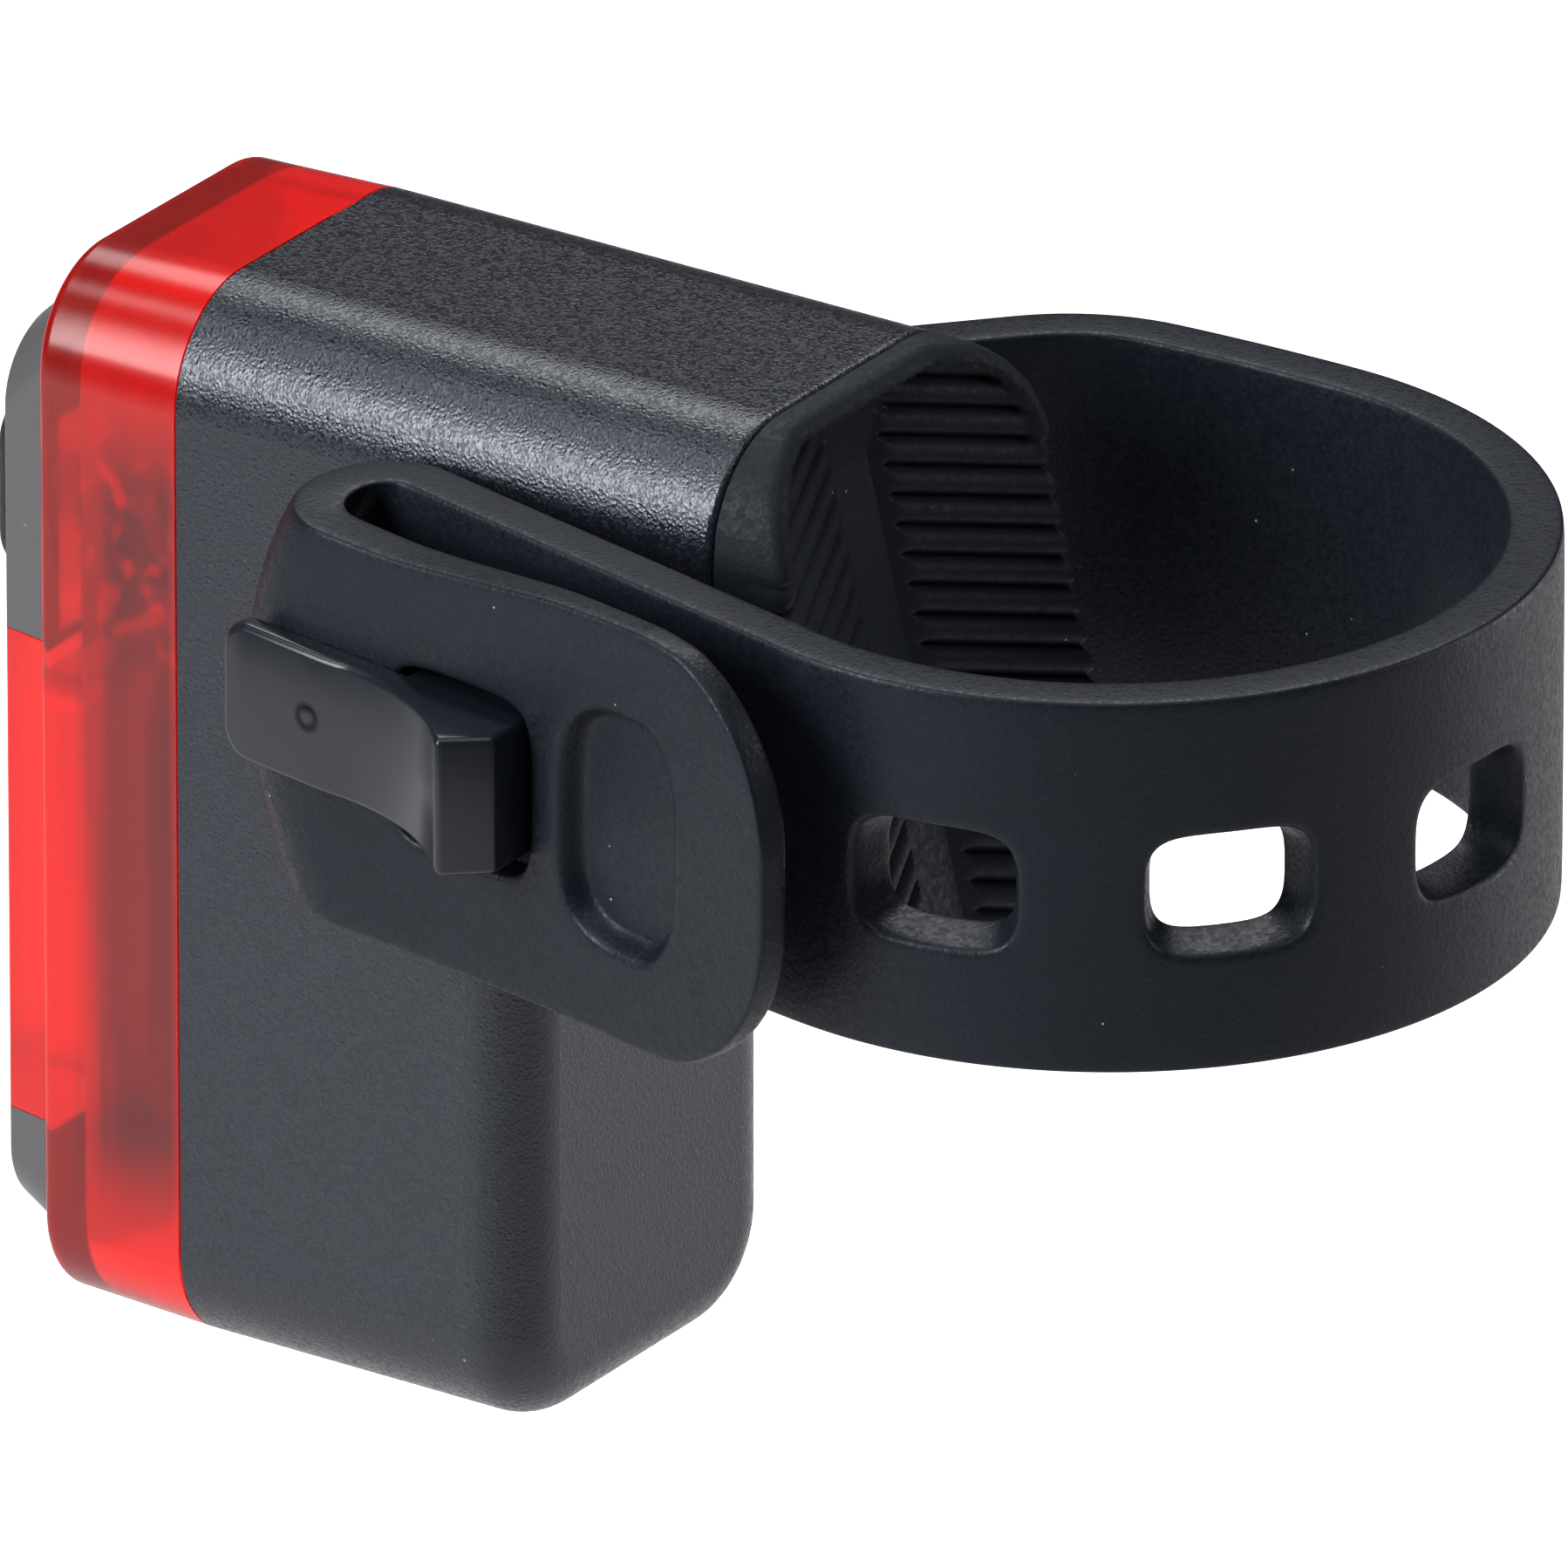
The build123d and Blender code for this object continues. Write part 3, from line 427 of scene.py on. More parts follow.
def build_grain_group():
    """Moulded grain: pebbled height, a mask of sparse painted glints, broad mottle and a random
    value per cell.
    """
    group, entry, leave = new_group(
        "moulded grain", [("Scale", HOUSING_GRAIN), ("Glint", PAINTED_GLINT_LEVEL)],
        ("Height", "Painted glints", "Mottle", "Cells"),
    )
    place = entry.outputs["Vector"]
    distance, chances = random_cells(group, entry)
    fine = noise_node(group, place, entry.outputs["Scale"], NOISE_DETAIL, NOISE_ROUGHNESS)
    picked = math_node(group, "SUBTRACT", fine, entry.outputs["Glint"])
    painted_glints = math_node(group, "MULTIPLY", picked, PAINTED_GLINT_GAIN, clamp=True)
    broad = noise_node(group, place, MOTTLE_SCALE, NOISE_DETAIL, NOISE_ROUGHNESS)
    group.links.new(math_node(group, "ADD", distance, fine), leave.inputs["Height"])
    group.links.new(painted_glints, leave.inputs["Painted glints"])
    group.links.new(broad, leave.inputs["Mottle"])
    group.links.new(chances[0], leave.inputs["Cells"])
    return group


def build_dust_group():
    """Settled dust: small pale specks, scattered and uneven in size."""
    group, entry, leave = new_group(
        "dust specks",
        [("Scale", DUST_SCALE), ("Share", PLASTIC_DUST_SHARE), ("Size", DUST_SIZE)],
        ("Mask",),
    )
    distance, chances = random_cells(group, entry)
    chosen = math_node(group, "LESS_THAN", chances[0], entry.outputs["Share"])
    radius = math_node(group, "MULTIPLY", chances[1], entry.outputs["Size"])
    inside = math_node(group, "LESS_THAN", distance, radius)
    group.links.new(math_node(group, "MULTIPLY", chosen, inside), leave.inputs["Mask"])
    return group


GRAIN = build_grain_group()
DUST = build_dust_group()


def start_material(name):
    """A new node material with its tree, its Principled BSDF and an Object coordinate socket."""
    material = bpy.data.materials.new(name)
    material.use_nodes = True
    tree = material.node_tree
    shader = tree.nodes["Principled BSDF"]
    place = tree.nodes.new("ShaderNodeTexCoord").outputs["Object"]
    return material, tree, shader, place


def use_group(tree, group, place, **values):
    """The group's node in a tree, fed by the place and its own values."""
    node = tree.nodes.new("ShaderNodeGroup")
    node.node_tree = group
    tree.links.new(place, node.inputs["Vector"])
    for label, value in values.items():
        node.inputs[label].default_value = value
    return node


def split_place(tree, place):
    """The X, Y and Z outputs of a place."""
    parts = tree.nodes.new("ShaderNodeSeparateXYZ")
    tree.links.new(place, parts.inputs["Vector"])
    return parts.outputs


def mix_colours(tree, share, first, second):
    """A colour mix by a share socket; each colour is a tuple or a socket."""
    node = tree.nodes.new("ShaderNodeMix")
    node.data_type = "RGBA"
    tree.links.new(share, node.inputs[0])
    for socket, value in ((node.inputs[6], first), (node.inputs[7], second)):
        if isinstance(value, tuple):
            socket.default_value = (*value, 1.0)
        else:
            tree.links.new(value, socket)
    return node.outputs[2]


def remap(tree, value, low, high, start=0.0, end=1.0, smooth=False):
    """A value from start..end carried to low..high, held at both ends."""
    node = tree.nodes.new("ShaderNodeMapRange")
    tree.links.new(value, node.inputs["Value"])
    node.inputs["From Min"].default_value = start
    node.inputs["From Max"].default_value = end
    node.inputs["To Min"].default_value = low
    node.inputs["To Max"].default_value = high
    if smooth:
        node.interpolation_type = "SMOOTHSTEP"
    return node.outputs["Result"]


def set_spread(tree, shader, value, rough, spread):
    """The shader's roughness, spread about its middle by a value socket."""
    roughness = remap(tree, value, rough - spread, rough + spread)
    tree.links.new(roughness, shader.inputs["Roughness"])


def bump(tree, shader, height, depth_and_strength):
    """A Bump node into the shader's Normal."""
    node = tree.nodes.new("ShaderNodeBump")
    depth, strength = depth_and_strength
    node.inputs["Distance"].default_value = depth
    node.inputs["Strength"].default_value = strength
    tree.links.new(height, node.inputs["Height"])
    tree.links.new(node.outputs["Normal"], shader.inputs["Normal"])


def grained_plastic(name, dark, light, rough):
    """Matte moulded plastic with grain, and sparse painted glints that lighten its colour as
    highlights.
    """
    material, tree, shader, place = start_material(name)
    grain = use_group(tree, GRAIN, place, Scale=HOUSING_GRAIN)
    dust = use_group(tree, DUST, place, Share=HOUSING_DUST_SHARE)
    base = mix_colours(tree, grain.outputs["Mottle"], dark, light)
    # Painted glints: the colour turns several times lighter in sparse grain cells, standing in for
    # sparkling highlights
    painted_highlight = tuple(PAINTED_GLINT_LIFT * part for part in light)
    painted_glint = mix_colours(tree, grain.outputs["Painted glints"], base, painted_highlight)
    dusted = mix_colours(tree, dust.outputs["Mask"], painted_glint, HOUSING_DUST)
    tree.links.new(dusted, shader.inputs["Base Color"])
    set_spread(tree, shader, grain.outputs["Cells"], rough, HOUSING_SPREAD)
    shader.inputs["Specular IOR Level"].default_value = HOUSING_GLOSS
    shader.inputs["Specular Tint"].default_value = COOL_SHEEN
    bump(tree, shader, grain.outputs["Height"], HOUSING_BUMP)
    return material


def moulded_rubber(name, dark, light, rough, dust_share):
    """Satin silicone or rubber with a faint orange peel and settled dust."""
    material, tree, shader, place = start_material(name)
    grain = use_group(tree, GRAIN, place, Scale=RUBBER_GRAIN)
    dust = use_group(tree, DUST, place, Share=dust_share)
    base = mix_colours(tree, grain.outputs["Mottle"], dark, light)
    dusted = mix_colours(tree, dust.outputs["Mask"], base, RUBBER_DUST)
    tree.links.new(dusted, shader.inputs["Base Color"])
    set_spread(tree, shader, grain.outputs["Cells"], rough, RUBBER_SPREAD)
    shader.inputs["Specular IOR Level"].default_value = RUBBER_GLOSS
    shader.inputs["Specular Tint"].default_value = COOL_SHEEN
    bump(tree, shader, grain.outputs["Height"], RUBBER_BUMP)
    return material


def smooth_plastic(name, dark, light, rough):
    """Smooth moulded plastic with a slight waviness and a little dust."""
    material, tree, shader, place = start_material(name)
    grain = use_group(tree, GRAIN, place, Scale=PLASTIC_GRAIN)
    dust = use_group(tree, DUST, place, Share=PLASTIC_DUST_SHARE)
    base = mix_colours(tree, grain.outputs["Mottle"], dark, light)
    dusted = mix_colours(tree, dust.outputs["Mask"], base, PLASTIC_DUST)
    tree.links.new(dusted, shader.inputs["Base Color"])
    set_spread(tree, shader, grain.outputs["Mottle"], rough, PLASTIC_SPREAD)
    bump(tree, shader, grain.outputs["Height"], PLASTIC_BUMP)
    return material


def plated_metal(name, dark, light, rough):
    """Plated metal with a fine mottle and grain bump."""
    material, tree, shader, place = start_material(name)
    grain = use_group(tree, GRAIN, place, Scale=METAL_GRAIN)
    base = mix_colours(tree, grain.outputs["Mottle"], dark, light)
    tree.links.new(base, shader.inputs["Base Color"])
    set_spread(tree, shader, grain.outputs["Mottle"], rough, METAL_SPREAD)
    shader.inputs["Metallic"].default_value = 1.0
    bump(tree, shader, grain.outputs["Height"], METAL_BUMP)
    return material


def moulding_mark(material, depth, level):
    """The ejector pin's shallow ring, dark and sunk, on a plastic's outer face."""
    tree = material.node_tree
    shader = tree.nodes["Principled BSDF"]
    parts = split_place(tree, tree.nodes.new("ShaderNodeTexCoord").outputs["Object"])
    along = math_node(tree, "SUBTRACT", parts["Y"], depth)
    up = math_node(tree, "SUBTRACT", parts["Z"], level)
    across_square = math_node(tree, "MULTIPLY", along, along)
    up_square = math_node(tree, "MULTIPLY", up, up)
    from_middle = math_node(tree, "SQRT", math_node(tree, "ADD", across_square, up_square))
    off_ring = math_node(tree, "SUBTRACT", from_middle, MARK_RADIUS)
    share_off = math_node(tree, "DIVIDE", math_node(tree, "ABSOLUTE", off_ring), MARK_WIDTH)
    ring = math_node(tree, "SUBTRACT", 1.0, share_off, clamp=True)
    plain = shader.inputs["Base Color"].links[0].from_socket
    tree.links.new(mix_colours(tree, ring, plain, MARK_COLOUR), shader.inputs["Base Color"])
    tree.links.new(remap(tree, ring, PLAIN_GLOSS, MARK_GLOSS), shader.inputs["Specular IOR Level"])
    sunk = tree.nodes.new("ShaderNodeBump")
    sunk.inputs["Distance"].default_value = MARK_DEPTH
    sunk.invert = True
    tree.links.new(ring, sunk.inputs["Height"])
    tree.links.new(shader.inputs["Normal"].links[0].from_socket, sunk.inputs["Normal"])
    tree.links.new(sunk.outputs["Normal"], shader.inputs["Normal"])


def red_lens(name):
    """Clear red plastic that light passes through, with painted shade, a painted rim highlight and
    painted glints in its colour.
    """
    material, tree, shader, place = start_material(name)
    parts = split_place(tree, place)
    stretched = tree.nodes.new("ShaderNodeMapping")
    stretched.inputs["Scale"].default_value = (1.0, 1.0, LENS_COLUMN_STRETCH)
    tree.links.new(place, stretched.inputs["Vector"])
    columns = noise_node(
        tree, stretched.outputs["Vector"], LENS_COLUMN_SCALE, NOISE_DETAIL, NOISE_ROUGHNESS
    )
    # Painted shade: the colour darkens in a band between the bright front and the seam, and the
    # band fades out at both ends
    off_middle = math_node(tree, "ABSOLUTE", math_node(tree, "SUBTRACT", parts["Z"], mid_z))
    ends = remap(tree, off_middle, 1.0, 0.0, LENS_BRIGHT_END - LENS_END_FADE, LENS_BRIGHT_END, True)
    drift = math_node(tree, "SUBTRACT", columns, 0.5)
    wavy = math_node(tree, "ADD", parts["Y"], math_node(tree, "MULTIPLY", drift, LENS_COLUMN_DRIFT))
    depth = remap(tree, wavy, 0.0, 1.0, seam_y - LENS_BRIGHT_DEPTH, seam_y - LENS_DARK_DEPTH, True)
    banded = math_node(tree, "MULTIPLY", depth, ends)
    # Painted glints: bright spots lighten the upper part of the painted shade band, over the side
    # emitters
    foot = mid_z + LENS_PAINTED_SPARK_FOOT
    upper = remap(tree, parts["Z"], 0.0, 1.0, foot, foot + LENS_END_FADE)
    spark_noise = noise_node(tree, place, LENS_PAINTED_SPARK_SCALE, LENS_PAINTED_SPARK_DETAIL, LENS_PAINTED_SPARK_ROUGHNESS)
    above = math_node(tree, "SUBTRACT", spark_noise, LENS_PAINTED_SPARK_LEVEL)
    spark_mask = math_node(tree, "MULTIPLY", above, LENS_PAINTED_SPARK_GAIN, clamp=True)
    painted_sparks = math_node(tree, "MULTIPLY", spark_mask, upper)
    shade = math_node(tree, "SUBTRACT", banded, painted_sparks, clamp=True)
    # thin holds the lit reds, painted_shade_red the reds of the painted shade; the band mixes from
    # one to the other
    thin = mix_colours(tree, columns, *LENS_LIT_REDS)
    painted_shade_red = mix_colours(tree, columns, *LENS_PAINTED_SHADE_REDS)
    body = mix_colours(tree, shade, thin, painted_shade_red)
    # Painted rim highlight: a thin bright red line along the seam
    rim = remap(tree, parts["Y"], 0.0, 1.0, seam_y - LENS_RIM_LIGHT_DEPTH, seam_y)
    colour = mix_colours(tree, rim, body, LENS_PAINTED_RIM_LIGHT)
    tree.links.new(colour, shader.inputs["Base Color"])
    blotch = noise_node(tree, place, LENS_BLOTCH_SCALE)
    tree.links.new(remap(tree, blotch, *LENS_ROUGHNESS), shader.inputs["Roughness"])
    shader.inputs["IOR"].default_value = LENS_INDEX
    shader.inputs["Transmission Weight"].default_value = LENS_CLEAR
    clear = tree.nodes.new("ShaderNodeBsdfTransparent")
    clear.inputs["Color"].default_value = LENS_SHADOW
    path = tree.nodes.new("ShaderNodeLightPath")
    mix = tree.nodes.new("ShaderNodeMixShader")
    tree.links.new(path.outputs["Is Shadow Ray"], mix.inputs[0])
    tree.links.new(shader.outputs["BSDF"], mix.inputs[1])
    tree.links.new(clear.outputs["BSDF"], mix.inputs[2])
    tree.links.new(mix.outputs[0], tree.nodes["Material Output"].inputs["Surface"])
    return material


def reflector_light_and_shade(name):
    """The reflector: painted light where it meets the window, falling off to painted shade at its
    root in soft bands.
    """
    material, tree, shader, place = start_material(name)
    level = split_place(tree, place)["Y"]
    front, root = seam_y - REFLECTOR_FRONT, seam_y - REFLECTOR_ROOT
    depth = remap(tree, level, 0.0, 1.0, front, root, True)
    blotch = noise_node(tree, place, REFLECTOR_BLOTCH_SCALE, NOISE_DETAIL, NOISE_ROUGHNESS)
    off_middle = math_node(tree, "SUBTRACT", blotch, 0.5)
    uneven = math_node(tree, "MULTIPLY", off_middle, REFLECTOR_UNEVEN)
    share = math_node(tree, "ADD", depth, uneven, clamp=True)
    # Painted light and shade: the colour runs from pale at the front to dark at the root
    colour = mix_colours(tree, share, REFLECTOR_PAINTED_LIGHT, REFLECTOR_PAINTED_SHADE)
    tree.links.new(colour, shader.inputs["Base Color"])
    tree.links.new(remap(tree, blotch, *REFLECTOR_ROUGHNESS), shader.inputs["Roughness"])
    return material


FINISHES = {"red_lens": red_lens("red_lens"), "pale_reflector": reflector_light_and_shade("pale_reflector")}
for make_finish, table in (
    (grained_plastic, GRAINED_PLASTICS), (moulded_rubber, RUBBERS),
    (smooth_plastic, SMOOTH_PLASTICS), (plated_metal, METALS),
):
    for finish_name, values in table.items():
        FINISHES[finish_name] = make_finish(finish_name, *values)
moulding_mark(FINISHES["hook_plastic"], seam_y + MARK_PLACE[0], MARK_PLACE[1])


def dress(piece, finish_name):
    """Gives a piece one finish in place of what it wore."""
    piece.data.materials.clear()
    piece.data.materials.append(FINISHES[finish_name])


for node_name, finish_name in CAD_FINISHES.items():
    dress(frame["nodes"][node_name], finish_name)


# Strap route in plan, walked from its end on the far side to the end of the tail
fold_x = half_width + STRAP_GAP + band_half + FOLD_RADIUS
fold_depth = HOOK_FRONT - FOLD_LEAD
root_x = -(half_width + STRAP_GAP + band_half)
root_depth = STUD_DEPTH - STRAP_WIDTH / 2
shoulder_x = -(LOOP_OFFSET + mid_radius) + SHOULDER_INSET
centre_gap = hypot(fold_x + LOOP_OFFSET, LOOP_DEPTH - fold_depth)
centre_turn = atan2(LOOP_DEPTH - fold_depth, fold_x + LOOP_OFFSET)
strap_lean = centre_turn - acos((mid_radius + FOLD_RADIUS) / centre_gap)
near_run = (centre_gap ** 2 - (mid_radius + FOLD_RADIUS) ** 2) ** 0.5
outward_run = Vector((shoulder_x - root_x, SHOULDER_DEPTH - ROOT_BEND_DEPTH))
outward_turn = atan2(-outward_run.x, outward_run.y)
rising_run = Vector((-(LOOP_OFFSET + mid_radius) - shoulder_x, LOOP_DEPTH - SHOULDER_DEPTH))
rising_turn = atan2(-rising_run.x, rising_run.y)
root_tangent = ROOT_BEND_RADIUS * tan(outward_turn / 2)
shoulder_tangent = SHOULDER_RADIUS * tan((outward_turn - rising_turn) / 2)
fold_turn = pi + strap_lean - TAIL_LEAN

# Each move is a length, and how much the heading turns to the left on the way
STRAP_MOVES = [
    (ROOT_BEND_DEPTH - root_depth - root_tangent, 0.0),
    (ROOT_BEND_RADIUS * outward_turn, outward_turn),
    (outward_run.length - root_tangent - shoulder_tangent, 0.0),
    (SHOULDER_RADIUS * (outward_turn - rising_turn), rising_turn - outward_turn),
    (rising_run.length - shoulder_tangent, -rising_turn),
    (mid_radius * (pi + strap_lean), -(pi + strap_lean)),
    (near_run, 0.0),
    (FOLD_RADIUS * fold_turn, fold_turn),
    (TAIL_LENGTH, -TAIL_LENGTH / TAIL_RADIUS),
]
loop_start = sum(length for length, turn in STRAP_MOVES[:5])
near_start = loop_start + STRAP_MOVES[5][0]
fold_start = near_start + near_run
tail_start = fold_start + STRAP_MOVES[7][0]
strap_end = tail_start + TAIL_LENGTH


def strap_place(along):
    """The middle line's point and heading, at a length from the far end."""
    point = Vector((root_x, seam_y + root_depth))
    heading = pi / 2
    for length, turn in STRAP_MOVES:
        step = min(along, length)
        share = step / length
        if abs(turn) < STRAIGHT_TURN:
            point = point + Vector((cos(heading), sin(heading))) * step
        else:
            chord = 2 * (length / turn) * sin(turn * share / 2)
            middle = heading + turn * share / 2
            point = point + Vector((cos(middle), sin(middle))) * chord
            heading = heading + turn * share
        along = along - step
        if along <= 0:
            break
    return point, heading


def near_length(depth):
    """The length along the route at which the straight near run is at a depth."""
    foot, heading = strap_place(near_start)
    return near_start + (seam_y + depth - foot.y) / sin(heading)


def tail_length_at(depth):
    """The length along the route at which the tail is at a depth."""
    foot, heading = strap_place(tail_start)
    return tail_start + (seam_y + depth - foot.y) / sin(heading)


# Holes along the strap: middle, length, height and corner radius
STRAP_HOLES = [
    (loop_start + mid_radius * (pi - radians(angle)), HOLE_LENGTH, HOLE_HEIGHT, HOLE_CORNER)
    for angle in HOLE_ANGLES
]
STRAP_HOLES += [
    (near_length(SPARE_HOLE_DEPTH), HOLE_LENGTH, HOLE_HEIGHT, HOLE_CORNER),
    (near_length(HOOK_MIDDLE), HOOK_HOLE_LENGTH, HOOK_HOLE_HEIGHT, HOLE_CORNER),
    (tail_length_at(HOOK_MIDDLE), HOOK_HOLE_LENGTH, HOOK_HOLE_HEIGHT, HOLE_CORNER),
    (STRAP_WIDTH / 2, STUD_HOLE, STUD_HOLE, STUD_HOLE_CORNER),
]
GRIP = (strap_end - GRIP_INSET - GRIP_LENGTH / 2, GRIP_LENGTH, GRIP_HEIGHT, GRIP_CORNER)


def deselect_all():
    bpy.ops.object.select_all(action="DESELECT")


def make_active(piece):
    deselect_all()
    piece.select_set(True)
    bpy.context.view_layer.objects.active = piece


def edit_all(piece):
    """Goes into edit mode with the whole piece selected."""
    make_active(piece)
    bpy.ops.object.mode_set(mode="EDIT")
    bpy.ops.mesh.select_all(action="SELECT")


def held(value, low=0.0, high=1.0):
    """A value kept between a low and a high one."""
    return max(low, min(high, value))


def apply_modifier(piece, kind, name, **values):
    """Adds a modifier with its values and applies it."""
    make_active(piece)
    modifier = piece.modifiers.new(name, kind)
    for label, value in values.items():
        setattr(modifier, label, value)
    bpy.ops.object.modifier_apply(modifier=modifier.name)


def cage_lines(marks, low, high, step):
    """Sorted places from low to high that hold every mark, with none further apart than a step."""
    inside = {round(mark, PLACE_DIGITS) for mark in marks if low <= mark <= high}
    kept = sorted(inside | {low, high})
    lines = []
    for first, second in zip(kept, kept[1:]):
        parts = max(1, round((second - first) / step))
        lines += [first + (second - first) * part / parts for part in range(parts)]
    return lines + [high]


def half_width_at(along, hand):
    """The strap's reach up (hand 1) or down (-1), and its share that is left at a rounded end."""
    near = STRAP_TOP if hand > 0 else LOOP_BOTTOM
    to_fold = held((along - near_start) / near_run)
    on_tail = held((along - tail_start) / TAIL_LENGTH)
    full = near + (TAIL_HALF_START - near) * to_fold
    full = full + (TAIL_HALF_END - TAIL_HALF_START) * on_tail
    from_dip = min(1.0, abs(along - tail_start - FOLD_DIP_PLACE) / FOLD_DIP_REACH)
    if hand > 0:
        full = full - FOLD_DIP * cos(from_dip * pi / 2) ** 2
    from_end = strap_end - along
    share = 1.0
    if along < full:
        share = max((full ** 2 - (full - along) ** 2) ** 0.5 / full, ROOT_END_SHARE)
    if from_end < TAIL_CORNER:
        drop = TAIL_CORNER - (TAIL_CORNER ** 2 - (TAIL_CORNER - from_end) ** 2) ** 0.5
        share = 1 - drop / full
    return full, share


def row_heights(along, openings):
    """Half the cage's rows at a length: the middle, and three that frame the nearest openings."""
    before = [opening for opening in openings if opening[0] <= along] or [openings[0]]
    after = [opening for opening in openings if opening[0] > along] or [openings[-1]]
    middle, length, height, corner = before[-1]
    next_middle, next_length, next_height, next_corner = after[0]
    leave = middle + length / 2 + LIP
    clear = next_middle - next_length / 2 - LIP - leave
    share = held((along - leave) / clear) if clear > 0 else 0.0
    half = height / 2 + (next_height - height) / 2 * share
    rounding = corner + (next_corner - corner) * share
    return [0.0, half - rounding, half, half + LIP]


def over_opening(point, openings):
    """Whether a point of the flat strap lies inside one of the openings."""
    return any(
        abs(point.x - middle) < length / 2 and abs(point.z) < height / 2
        for middle, length, height, corner in openings
    )


def select_faces(piece, chosen):
    """Selects the faces that a test picks, ready for edit mode."""
    make_active(piece)
    bpy.ops.object.mode_set(mode="EDIT")
    bpy.ops.mesh.select_mode(type="FACE")
    bpy.ops.mesh.select_all(action="DESELECT")
    bpy.ops.object.mode_set(mode="OBJECT")
    for face in piece.data.polygons:
        face.select = chosen(face)
    bpy.ops.object.mode_set(mode="EDIT")


def build_strap():
    """The strap: a flat cage, thickened, recessed and rounded, then bent along its route."""
    openings = sorted(STRAP_HOLES + [GRIP])
    marks = [fold_start, tail_start, strap_end - TAIL_CORNER, strap_end - LIP, LIP]
    for middle, length, height, corner in openings:
        for hand in (-1, 1):
            for reach in (length / 2 + LIP, length / 2, length / 2 - corner):
                marks.append(middle + hand * reach)
        marks.append(middle)
    columns = cage_lines(marks, 0.0, strap_end, COLUMN_STEP)
    half_count = len(row_heights(0.0, openings))
    deselect_all()
    bpy.ops.mesh.primitive_grid_add(
        x_subdivisions=len(columns) - 1, y_subdivisions=2 * half_count,
        size=2.0, rotation=(pi / 2, 0, 0),
    )
    strap = bpy.context.object
    strap.name = "strap_band"
    bpy.ops.object.transform_apply(location=True, rotation=True, scale=True)
    mesh = strap.data
    for vertex in mesh.vertices:
        along = columns[round((vertex.co.x + 1) / 2 * (len(columns) - 1))]
        row = round(vertex.co.z * half_count)
        hand = -1 if row < 0 else 1
        reach, share = half_width_at(along, hand)
        heights = row_heights(along, openings) + [reach]
        vertex.co = (along, 0.0, hand * heights[abs(row)] * share)
    # The corners of each opening are drawn in, so that they round off
    for middle, length, height, corner in openings:
        for vertex in mesh.vertices:
            beside = abs(abs(vertex.co.x - middle) - length / 2) < BESIDE_REACH
            above = abs(abs(vertex.co.z) - height / 2) < ABOVE_REACH
            if beside and above:
                vertex.co.x += CORNER_DRAW * corner * (1 if vertex.co.x < middle else -1)
                vertex.co.z += CORNER_DRAW * corner * (1 if vertex.co.z < 0 else -1)
    select_faces(strap, lambda face: over_opening(face.center, STRAP_HOLES))
    bpy.ops.mesh.delete(type="FACE")
    bpy.ops.object.mode_set(mode="OBJECT")
    thin = strap.vertex_groups.new(name="thickness")
    for vertex in mesh.vertices:
        share = held((vertex.co.x - tail_start) / TAIL_LENGTH * TAIL_THINNING)
        left = 1 - share * (1 - TAIL_THICKNESS / STRAP_THICKNESS)
        thin.add([vertex.index], left, "REPLACE")
    apply_modifier(
        strap, "SOLIDIFY", "Thickness", thickness=STRAP_THICKNESS, offset=0.0,
        vertex_group="thickness", use_even_offset=False,
    )
    # The openings of the loop narrow towards its inner face
    for middle, length, height, corner in STRAP_HOLES[:len(HOLE_ANGLES) + 1]:
        for vertex in mesh.vertices:
            across, rise = vertex.co.x - middle, vertex.co.z
            beside = abs(across) < length / 2 + FLARE_REACH
            if vertex.co.y < 0 and beside and abs(rise) < height / 2 + FLARE_REACH:
                vertex.co.x -= HOLE_FLARE * across / (length / 2)
                vertex.co.z -= HOLE_FLARE * rise / (height / 2)
    # Finger recess on the tail's outer face
    select_faces(
        strap, lambda face: face.normal.y < -OUTWARD_LEAST and over_opening(face.center, [GRIP])
    )
    bpy.ops.mesh.inset(thickness=GRIP_WALL, depth=0.0)
    bpy.ops.transform.translate(value=(0, GRIP_RECESS, 0))
    bpy.ops.mesh.select_all(action="DESELECT")
    bpy.ops.object.mode_set(mode="OBJECT")
    apply_modifier(
        strap, "BEVEL", "Edges", width=STRAP_EDGE, segments=STRAP_EDGE_SEGMENTS,
        limit_method="ANGLE", angle_limit=STRAP_EDGE_ANGLE,
    )
    apply_modifier(
        strap, "SUBSURF", "Rounding", levels=STRAP_ROUNDING, render_levels=STRAP_ROUNDING
    )
    # Bent along the route, with a swell that fades out half a fold beyond the fold's two ends
    for vertex in mesh.vertices:
        along, lift, height = vertex.co
        inside = held(along, 0.0, strap_end)
        point, heading = strap_place(inside)
        point = point + Vector((cos(heading), sin(heading))) * (along - inside)
        left = Vector((-sin(heading), cos(heading)))
        into_fold = (along - fold_start) / (tail_start - fold_start)
        swell = 0.0
        if -0.5 < into_fold < 1.5:
            swell = FOLD_BULGE * cos((into_fold - 0.5) * pi / 2) ** 2
        curve = swell * (1 - (height / (STRAP_WIDTH / 2)) ** 2)
        vertex.co = (point.x + left.x * lift, point.y + left.y * lift - curve, height)
    edit_all(strap)
    bpy.ops.mesh.normals_make_consistent(inside=False)
    bpy.ops.object.mode_set(mode="OBJECT")
    bpy.ops.object.shade_smooth()
    dress(strap, "strap_silicone")
    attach(strap, "light")
    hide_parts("strap")


def pad_reach(x):
    """The block outline's highest and lowest levels at a distance across it."""
    across = max(0.0, abs(x) - (half_width - BLOCK_CORNER))
    drop = BLOCK_CORNER - max(0.0, BLOCK_CORNER ** 2 - across ** 2) ** 0.5
    return block_top - drop, block_bottom + drop


